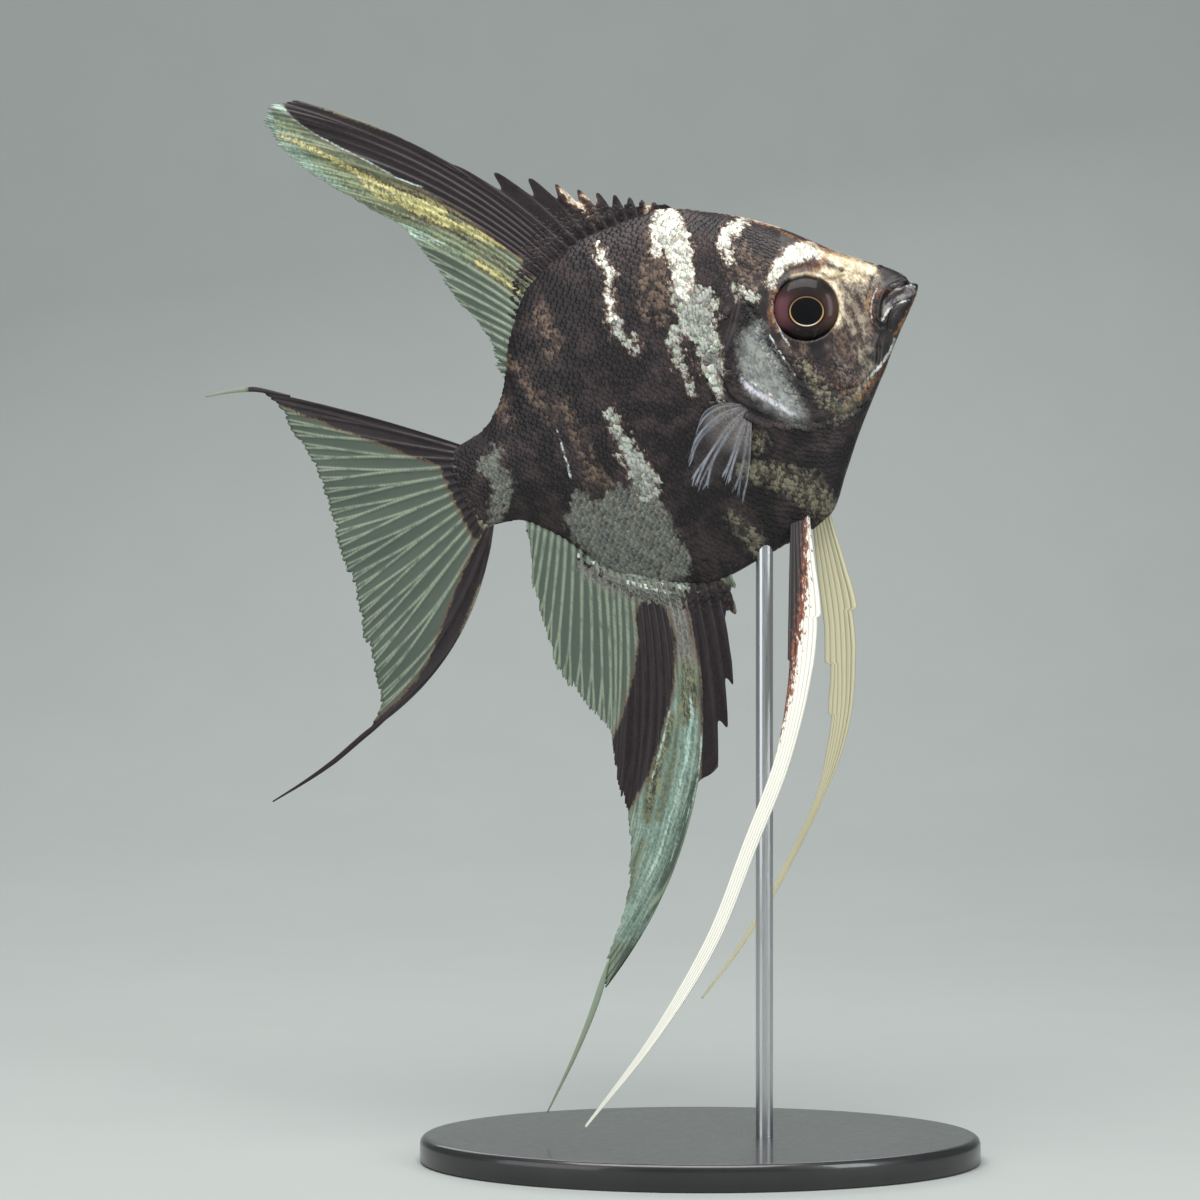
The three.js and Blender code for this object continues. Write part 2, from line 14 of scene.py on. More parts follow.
import bpy
import numpy as np
from mathutils import Matrix, Vector
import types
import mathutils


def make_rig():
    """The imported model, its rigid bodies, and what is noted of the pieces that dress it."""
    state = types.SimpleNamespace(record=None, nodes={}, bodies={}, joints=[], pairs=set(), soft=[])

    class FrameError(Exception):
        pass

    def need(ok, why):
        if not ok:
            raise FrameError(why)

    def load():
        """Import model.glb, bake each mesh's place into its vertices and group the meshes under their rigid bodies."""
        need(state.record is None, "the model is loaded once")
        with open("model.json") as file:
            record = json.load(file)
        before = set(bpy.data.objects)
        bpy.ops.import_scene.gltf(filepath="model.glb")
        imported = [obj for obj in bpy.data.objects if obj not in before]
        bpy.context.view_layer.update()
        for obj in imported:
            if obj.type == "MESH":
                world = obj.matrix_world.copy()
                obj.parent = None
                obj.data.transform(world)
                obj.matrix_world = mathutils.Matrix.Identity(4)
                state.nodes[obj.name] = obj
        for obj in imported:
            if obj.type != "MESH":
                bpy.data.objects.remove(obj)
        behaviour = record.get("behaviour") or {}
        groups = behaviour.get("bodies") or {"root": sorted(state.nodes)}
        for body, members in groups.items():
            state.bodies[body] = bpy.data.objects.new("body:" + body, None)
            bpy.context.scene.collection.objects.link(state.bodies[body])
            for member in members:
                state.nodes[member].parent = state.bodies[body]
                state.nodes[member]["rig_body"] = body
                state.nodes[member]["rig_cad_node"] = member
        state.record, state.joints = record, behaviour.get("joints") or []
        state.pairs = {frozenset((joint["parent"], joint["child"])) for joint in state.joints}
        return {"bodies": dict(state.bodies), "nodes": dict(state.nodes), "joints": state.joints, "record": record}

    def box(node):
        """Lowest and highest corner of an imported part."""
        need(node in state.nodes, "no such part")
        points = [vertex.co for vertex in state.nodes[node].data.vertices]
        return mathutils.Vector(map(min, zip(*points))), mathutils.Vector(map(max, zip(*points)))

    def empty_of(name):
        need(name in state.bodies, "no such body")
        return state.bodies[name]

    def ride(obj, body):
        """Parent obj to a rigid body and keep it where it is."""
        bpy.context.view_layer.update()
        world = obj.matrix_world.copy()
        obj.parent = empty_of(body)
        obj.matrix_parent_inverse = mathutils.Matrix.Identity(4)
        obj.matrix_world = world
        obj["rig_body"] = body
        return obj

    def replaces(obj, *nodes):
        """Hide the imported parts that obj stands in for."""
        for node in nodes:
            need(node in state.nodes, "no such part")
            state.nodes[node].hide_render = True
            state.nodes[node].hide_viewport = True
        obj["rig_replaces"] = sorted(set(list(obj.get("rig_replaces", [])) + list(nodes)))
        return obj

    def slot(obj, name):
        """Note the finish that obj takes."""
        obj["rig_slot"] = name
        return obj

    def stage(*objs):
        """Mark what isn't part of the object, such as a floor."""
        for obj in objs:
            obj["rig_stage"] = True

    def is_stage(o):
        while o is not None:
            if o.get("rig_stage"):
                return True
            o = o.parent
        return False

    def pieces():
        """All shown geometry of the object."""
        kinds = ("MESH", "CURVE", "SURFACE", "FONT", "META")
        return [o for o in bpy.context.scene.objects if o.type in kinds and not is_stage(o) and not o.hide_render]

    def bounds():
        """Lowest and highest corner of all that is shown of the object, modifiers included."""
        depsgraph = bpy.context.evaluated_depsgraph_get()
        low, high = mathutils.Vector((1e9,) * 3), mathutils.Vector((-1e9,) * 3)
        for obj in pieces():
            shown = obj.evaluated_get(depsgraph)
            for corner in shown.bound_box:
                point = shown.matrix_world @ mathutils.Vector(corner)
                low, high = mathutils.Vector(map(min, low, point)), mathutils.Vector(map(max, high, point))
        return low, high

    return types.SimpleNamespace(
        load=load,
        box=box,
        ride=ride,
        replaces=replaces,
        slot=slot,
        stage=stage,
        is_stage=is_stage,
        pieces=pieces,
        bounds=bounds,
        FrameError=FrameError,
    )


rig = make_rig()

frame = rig.load()
cad_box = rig.bounds()
print("nodes:", ", ".join(sorted(frame["nodes"])))

# %% [markdown]
# ## The fish's own axes
#
# The fish swims nose-up and slightly turned, so its shapes are much easier to write down in
# axes of its own: X from the root of the tail to the snout, Z towards the back fin, Y to its
# left, in millimetres. The two eyes of the solids are a true pair, so the point midway between
# them ties those axes to the frame.

# %% From the fish's axes to the frame
MM = 0.001
NOSE_UP = math.radians(23.15)
NOSE_TURN = math.radians(-6.0)
EYE_AT = Vector((55.3, 0.0, 3.3))

TURN = Matrix.Rotation(NOSE_TURN, 3, "Z") @ Matrix.Rotation(-NOSE_UP, 3, "Y")


def middle_of(*nodes):
    corners = [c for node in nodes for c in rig.box(node)]
    return sum((Vector(c) for c in corners), Vector()) / len(corners)


ORIGIN = middle_of("eye_left", "eye_right") - TURN @ (EYE_AT * MM)
print("root of the tail at", [round(c / MM, 2) for c in ORIGIN], "mm")


def to_frame(points):
    """Points in the fish's axes, in millimetres, as places in the frame, in metres."""
    return np.asarray(points) @ np.array(TURN).T * MM + np.array(ORIGIN)

# %% A smooth curve through a few stations
def profile(*stations):
    """A function that passes smoothly, without overshoot, through (x, value) stations."""
    xs, vs = np.array(stations, float).T
    slope = np.diff(vs) / np.diff(xs)
    before, after = slope[:-1], slope[1:]
    alike = before * after > 0
    inner = np.where(alike, 2 * before * after / np.where(alike, before + after, 1), 0)
    tangent = np.concatenate([slope[:1], inner, slope[-1:]])

    def value(x):
        x = np.clip(x, xs[0], xs[-1])
        i = np.clip(np.searchsorted(xs, x, side="right") - 1, 0, len(xs) - 2)
        wide = xs[i + 1] - xs[i]
        t = (x - xs[i]) / wide
        return (
            vs[i] * (1 + 2 * t) * (1 - t) ** 2
            + vs[i + 1] * t * t * (3 - 2 * t)
            + tangent[i] * wide * t * (1 - t) ** 2
            + tangent[i + 1] * wide * t * t * (t - 1)
        )

    return value


def path(*stations):
    """The same for a point: stations are (share, x, z) or (share, x, y, z)."""
    flat = len(stations[0]) == 3
    fx = profile(*[(s[0], s[1]) for s in stations])
    fy = profile(*[(s[0], 0.0 if flat else s[2]) for s in stations])
    fz = profile(*[(s[0], s[-1]) for s in stations])
    return lambda a: np.stack([fx(a), fy(a), fz(a)], axis=-1)


def smooth(low, high, x):
    """0 below low, 1 above high, with a soft step between."""
    t = np.clip((x - low) / (high - low), 0, 1)
    return t * t * (3 - 2 * t)


def bump(x, width):
    return np.exp(-((x / width) ** 2))


print("curves: profile, path, smooth, bump")

# %% From grids of points to closed meshes
def unit(vectors):
    """The same vectors, each of length one."""
    return vectors / np.maximum(np.linalg.norm(vectors, axis=-1, keepdims=True), 1e-9)


def quads(at):
    """The faces between neighbours in a grid of point numbers."""
    return np.stack([at[:-1, :-1], at[1:, :-1], at[1:, 1:], at[:-1, 1:]], -1).reshape(-1, 4)


def rim_of(at):
    """The point numbers round the edge of a grid, in turn."""
    return np.concatenate([at[:-1, 0], at[-1, :-1], at[:0:-1, -1], at[0, :0:-1]])


def closed_grid(front, back):
    """A closed shell between two equal grids of points, with its rim filled."""
    columns, rows = front.shape[:2]
    points = np.concatenate([front.reshape(-1, 3), back.reshape(-1, 3)])
    at = np.arange(columns * rows).reshape(columns, rows)
    under = at + columns * rows
    low = np.stack([under[:-1, :-1], under[:-1, 1:], under[1:, 1:], under[1:, :-1]], -1)
    rim = rim_of(at)
    rim_under = rim + columns * rows
    following = np.roll(rim, -1)
    sides = np.stack([rim, rim_under, following + columns * rows, following], -1)
    return points, np.concatenate([quads(at), low.reshape(-1, 4), sides])


def sheet(grid, half):
    """A closed sheet with this mid-surface and half thickness."""
    normal = unit(np.cross(np.gradient(grid, axis=0), np.gradient(grid, axis=1)))
    lift = normal * half[..., None]
    return closed_grid(grid + lift, grid - lift)


def tube_of(rings):
    """A closed tube through rings of equal point count, with a fan over each end."""
    count, sides = rings.shape[:2]
    at = np.arange(count * sides).reshape(count, sides)
    nxt = np.roll(at, -1, axis=1)
    walls = np.stack([at[:-1], nxt[:-1], nxt[1:], at[1:]], -1).reshape(-1, 4)
    points = np.concatenate([rings.reshape(-1, 3), rings[[0, -1]].mean(axis=1)])
    first, last = count * sides, count * sides + 1
    start = np.stack([nxt[0], at[0], np.full(sides, first), np.full(sides, first)], -1)
    end = np.stack([at[-1], nxt[-1], np.full(sides, last), np.full(sides, last)], -1)
    return points, np.concatenate([walls, start, end])


print("grids to meshes: closed_grid, sheet, tube_of")

# %% From meshes to pieces of the fish
def signed_volume(points, faces):
    a, b, c, d = (points[faces[:, i]] for i in range(4))
    return float((np.cross(a, b) * c).sum() + (np.cross(a, c) * d).sum()) / 6


def faces_out(points, faces):
    """The faces of a closed mesh, turned so that they look outwards."""
    return faces if signed_volume(points, faces) > 0 else faces[:, ::-1]


def add_attributes(mesh, attributes):
    """Stores numbers or vectors, one for each point of the mesh."""
    for label, values in attributes.items():
        vector = values.ndim == 2
        layer = mesh.attributes.new(label, "FLOAT_VECTOR" if vector else "FLOAT", "POINT")
        layer.data.foreach_set("vector" if vector else "value", values.ravel())


def smooth_mesh(name, places, faces):
    """A smooth mesh from places in the frame; a corner named twice makes a triangle."""
    mesh = bpy.data.meshes.new(name)
    mesh.from_pydata(places.tolist(), [], [list(dict.fromkeys(f)) for f in faces.tolist()])
    mesh.shade_smooth()
    return mesh


def make_mesh(name, points, faces, attributes=None):
    """A smooth mesh in the frame, with faces out, from points in the fish's axes."""
    mesh = smooth_mesh(name, to_frame(points), faces_out(points, faces))
    add_attributes(mesh, attributes or {})
    return mesh


def add_object(name, data):
    """A new object, put in the scene."""
    made = bpy.data.objects.new(name, data)
    bpy.context.scene.collection.objects.link(made)
    return made


def finish_piece(mesh, material, slot, stands_for=()):
    """Puts a mesh in the scene as one piece of the fish."""
    piece = add_object(mesh.name, mesh)
    if material is not None:
        mesh.materials.clear()
        mesh.materials.append(material)
    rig.ride(piece, "root")
    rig.slot(piece, slot)
    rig.replaces(piece, *stands_for)
    triangles = sum(len(p.vertices) - 2 for p in mesh.polygons)
    print(f"{piece.name}: {triangles} triangles")
    return piece


print("meshes to pieces: make_mesh, finish_piece")

# %% [markdown]
# ## The body as one formula
#
# Seen from the side, the body lies between a back line and a belly line. Seen end-on, it is a
# lens whose edges are nearly as thin as the fins that stand on them, and only the head is
# rounder. So a ring at any place along the fish needs just six numbers, and the whole body is
# a loft of such rings. The skin stays a coat's depth inside the solids.

# %% The body's lines
COAT = 0.12
TAIL_END = -3.4
SNOUT_END = 71.9
LIP_ROUND = 0.8  # how far back from its tip the snout is rounded off

back_line = profile(
    (-3.4, 5.0), (-1.5, 5.8), (3, 6.5), (8, 10), (13, 18), (19, 24.2), (30, 27.3), (40, 26.6),
    (48.5, 22.6), (56.7, 16.4), (63.5, 9.3), (67.4, 5.9), (68.8, 4.7), (69.9, 3.5), (70.5, 2.7),
    (70.85, 1.7), (71.05, 1.15), (71.5, 1.05), (71.9, 0.75),
)
belly_line = profile(
    (-3.4, -6.2), (-1.5, -7.2), (3, -8.2), (8, -13), (13, -20.6), (19, -25.2), (28, -28.6),
    (36, -27.8), (43, -27), (46.8, -25.9), (51.3, -21.1), (55.1, -16.8), (62.2, -9.7),
    (66.9, -5), (69.2, -2.9), (70.7, -1.5), (71.9, -0.3),
)
half_width = profile(
    (-3.4, 0.3), (-1.5, 0.8), (3, 1.8), (8, 2.8), (15, 4.1), (25, 5.5), (36, 6.2), (46, 6.4),
    (53, 5.9), (58, 5), (63, 3.8), (67, 2.6), (70, 1.75), (71.2, 1.3), (71.9, 0.9),
)
widest_level = profile(
    (-1.5, -0.8), (10, -1), (30, -4), (45, -5), (56, -2), (64, 0.3), (71.9, 0.3)
)
edge_half = profile(
    (-3.4, 0.2), (-1.5, 0.4), (10, 0.36), (32, 0.4), (42, 0.8), (52, 1.6), (62, 1.2), (71.9, 0.5)
)
roundness = profile((0, 1.2), (35, 1.25), (50, 1.6), (62, 1.8))


def body_at(x, turn, inset=COAT):
    """The point of the body at x, turned from the left flank (0) towards the back (90°)."""
    x, turn = np.broadcast_arrays(x, turn)
    level = widest_level(x)
    closing = np.sqrt(1 - np.clip((x - SNOUT_END + LIP_ROUND) / LIP_ROUND, 0, 1) ** 2)
    top = (back_line(x) - level - inset) * closing
    bottom = (level - belly_line(x) - inset) * closing
    up, side = np.sin(turn), np.cos(turn)
    edge = np.minimum(edge_half(x), half_width(x))
    lens = np.abs(side) ** (2 / roundness(x))
    y = (half_width(x) - edge) * lens + edge * np.abs(side) ** 0.35 - inset * np.abs(side) ** 0.35
    z = level + up * np.where(up > 0, top, bottom)
    return np.stack([x, np.sign(side) * y * closing, z], -1)


print("the body runs from", TAIL_END, "to", SNOUT_END, "mm")

# %% A ring's points at even steps of its girth
def even_turns(x, sides, fine=1200):
    """Angles that space `sides` points evenly round the ring at x, from the belly edge."""
    turn = np.linspace(-np.pi / 2, 1.5 * np.pi, fine + 1)
    ring = body_at(np.full(fine + 1, x), turn)
    gone = np.concatenate([[0], np.cumsum(np.linalg.norm(np.diff(ring, axis=0), axis=1))])
    return np.interp(np.linspace(0, gone[-1], sides, endpoint=False), gone, turn), gone[-1]


BODY_SIDES = 236
STATIONS = np.concatenate([
    np.arange(TAIL_END, 38, 0.27), np.arange(38, 62, 0.19), np.arange(62, 70.2, 0.12),
    np.arange(70.2, 71.3, 0.07), SNOUT_END - LIP_ROUND * 0.72 * np.linspace(1, 0, 14) ** 1.8,
])
STATIONS = np.unique(np.round(STATIONS, 4))
turns, girths = zip(*(even_turns(x, BODY_SIDES) for x in STATIONS))
TURNS, GIRTHS = np.array(turns), np.array(girths)
print(len(STATIONS), "rings of", BODY_SIDES, "points, widest girth", round(GIRTHS.max(), 1))

# %% [markdown]
# ## Relief of the head and flanks
#
# The lips, the fold of the upper jaw, the gill cover with its free edge and the rim of the eye
# are all small steps, ridges or grooves along lines in the side view. Each is a function of
# the distance to its line, and their sum moves the skin along its own normal. Steps this small
# could be a bump in the material, but as real shape they catch the light from every side and
# stay in the mesh.

# %% Distance to a line of points in the side view
def line_distance(x, z, points):
    """Distance to a polyline, and on which side of it a point lies (positive on its left)."""
    best = np.full(x.shape, np.inf)
    hand = np.ones(x.shape)
    for (x0, z0), (x1, z1) in zip(points, points[1:]):
        dx, dz = x1 - x0, z1 - z0
        t = np.clip(((x - x0) * dx + (z - z0) * dz) / (dx * dx + dz * dz), 0, 1)
        away = np.hypot(x - x0 - t * dx, z - z0 - t * dz)
        nearer = away < best
        best = np.where(nearer, away, best)
        hand = np.where(nearer, np.sign(dx * (z - z0) - dz * (x - x0)), hand)
    return best, hand


def smooth_line(points, steps=8):
    """Rounds a polyline by running a smooth curve through its points."""
    share = np.linspace(0, 1, len(points))
    curve = path(*[(s, *p) for s, p in zip(share, points)])
    return curve(np.linspace(0, 1, steps * (len(points) - 1) + 1))[:, [0, 2]].tolist()


print("lines in the side view: line_distance, smooth_line")

# %% The lines of the head
MOUTH = smooth_line([(72.6, 0.9), (70.8, 1.1), (69, 1.2), (67.4, 0.9), (66.1, -0.3), (65, -2.2)])
JAW_FOLD = smooth_line([
    (67.6, 4.6), (66, 3.4), (64.7, 1.8), (63.9, 0.2), (63.8, -1.6), (64.5, -3.4),
])
LOWER_LIP = smooth_line([(70.6, -1.3), (69, -1.1), (67.4, -1.5), (66.1, -2.6), (65.4, -4.2)])
GILL_EDGE = smooth_line([
    (46.5, 8.5), (44.2, 5.4), (41.2, 2), (39.9, -0.6), (39.9, -3.6), (42, -7.2), (45.6, -10.4),
    (49.4, -12.2), (54, -12.9), (59, -12.6), (62.6, -10.4),
])
CHEEK_EDGE = smooth_line([
    (48.2, 7), (48.6, 4.4), (48.5, 1.4), (49.4, -3), (51.4, -6.8), (54.2, -9.2), (57.8, -9.9),
    (61, -8.4), (62.8, -6),
])
GILL_SEAM = smooth_line([(40.8, -0.2), (43, -1.8), (45, -4.5), (47.2, -6.8), (50.2, -8.6)])
JAW_SEAM = smooth_line([(64.4, -4.2), (62, -6.6), (59.4, -7.6), (57.4, -6.4), (57, -4.6)])
JAW_RIDGE = [(65.5, -5.9), (63.8, -7.6), (61.7, -9.2), (60.2, -10)]
NOSTRIL = (62.4, 6.6)
print("gill edge:", len(GILL_EDGE), "points; cheek edge:", len(CHEEK_EDGE), "points")

# %% How far the skin stands out
def relief(x, z):
    """How far the skin stands out, in millimetres, at a place in the side view."""
    eye = np.hypot(x - EYE_AT.x, z - EYE_AT.z)
    high = -2.4 * (1 - smooth(4.5, 4.88, eye))
    high += 0.2 * bump(eye - 5.15, 0.3) - 0.1 * bump(eye - 6.3, 0.6)
    front = x > 59
    away, _ = line_distance(x, z, MOUTH)
    high += front * (-0.62 * bump(away, 0.17) + 0.26 * bump(away - 0.75, 0.5))
    away, side = line_distance(x, z, JAW_FOLD)
    high += front * (-0.3 * bump(away, 0.2) + 0.2 * bump(away + 0.55 * side, 0.45))
    away, _ = line_distance(x, z, LOWER_LIP)
    high += front * (-0.22 * bump(away, 0.24))
    away, side = line_distance(x, z, GILL_EDGE)
    inward = away * side
    high += 0.34 * smooth(-0.12, 0.3, inward) * (1 - smooth(1.2, 5, inward))
    high -= 0.34 * bump(inward + 0.3, 0.28)
    away, side = line_distance(x, z, CHEEK_EDGE)
    inward = away * side
    high += 0.16 * smooth(-0.1, 0.25, inward) * (1 - smooth(0.6, 3, inward))
    high -= 0.12 * bump(inward + 0.25, 0.25)
    away, _ = line_distance(x, z, GILL_SEAM)
    high -= 0.12 * bump(away, 0.22)
    away, _ = line_distance(x, z, JAW_SEAM)
    high -= 0.14 * bump(away, 0.3)
    away, _ = line_distance(x, z, JAW_RIDGE)
    high += 0.15 * bump(away, 0.5)
    nose = np.hypot(x - NOSTRIL[0], z - NOSTRIL[1])
    high += -0.7 * bump(nose, 0.34) + 0.13 * bump(nose - 0.62, 0.22)
    return high


print("relief: lips, jaw, gill cover, eye ring and nostril")

# %% [markdown]
# ## The skin
#
# One loft carries the skin from the tail stalk to the lips, so no seam shows where the solids
# were parted. The relief is added along the normals, and the rings are closest where the
# detail is finest.

# %% Make the skin
def skin_grid():
    x = np.repeat(STATIONS[:, None], BODY_SIDES, axis=1)
    grid = body_at(x, TURNS)
    around = np.roll(grid, -1, 1) - np.roll(grid, 1, 1)
    normal = unit(np.cross(around, np.gradient(grid, axis=0)))
    outward = np.sign((normal * (grid - [36, 0, -2])).sum(-1).mean())
    flank = smooth(0.25, 0.6, np.abs(normal[..., 1]))
    high = relief(x, grid[..., 2]) * flank
    return grid + outward * normal * high[..., None], outward * normal


SKIN, SKIN_NORMAL = skin_grid()
print("skin relief made,", SKIN.shape[0] * SKIN.shape[1], "points")

# %% [markdown]
# ## Markings
#
# The fish is black, with silver-white bars, a pale nose, silver gill covers and a few gold
# flecks. Each mark follows a chain of points, and has its own half width at each. What the
# mesh keeps is how far inside a mark each point lies: that number changes gently, so even a
# coarse mesh carries it well, and the material can fray its edge as finely as it likes.
#
# The numbers of `MARKS`, and of `FIN_MARKS` further on, were worked out and written by a
# separate program, and were not set by hand. The report says how, and what should replace them.

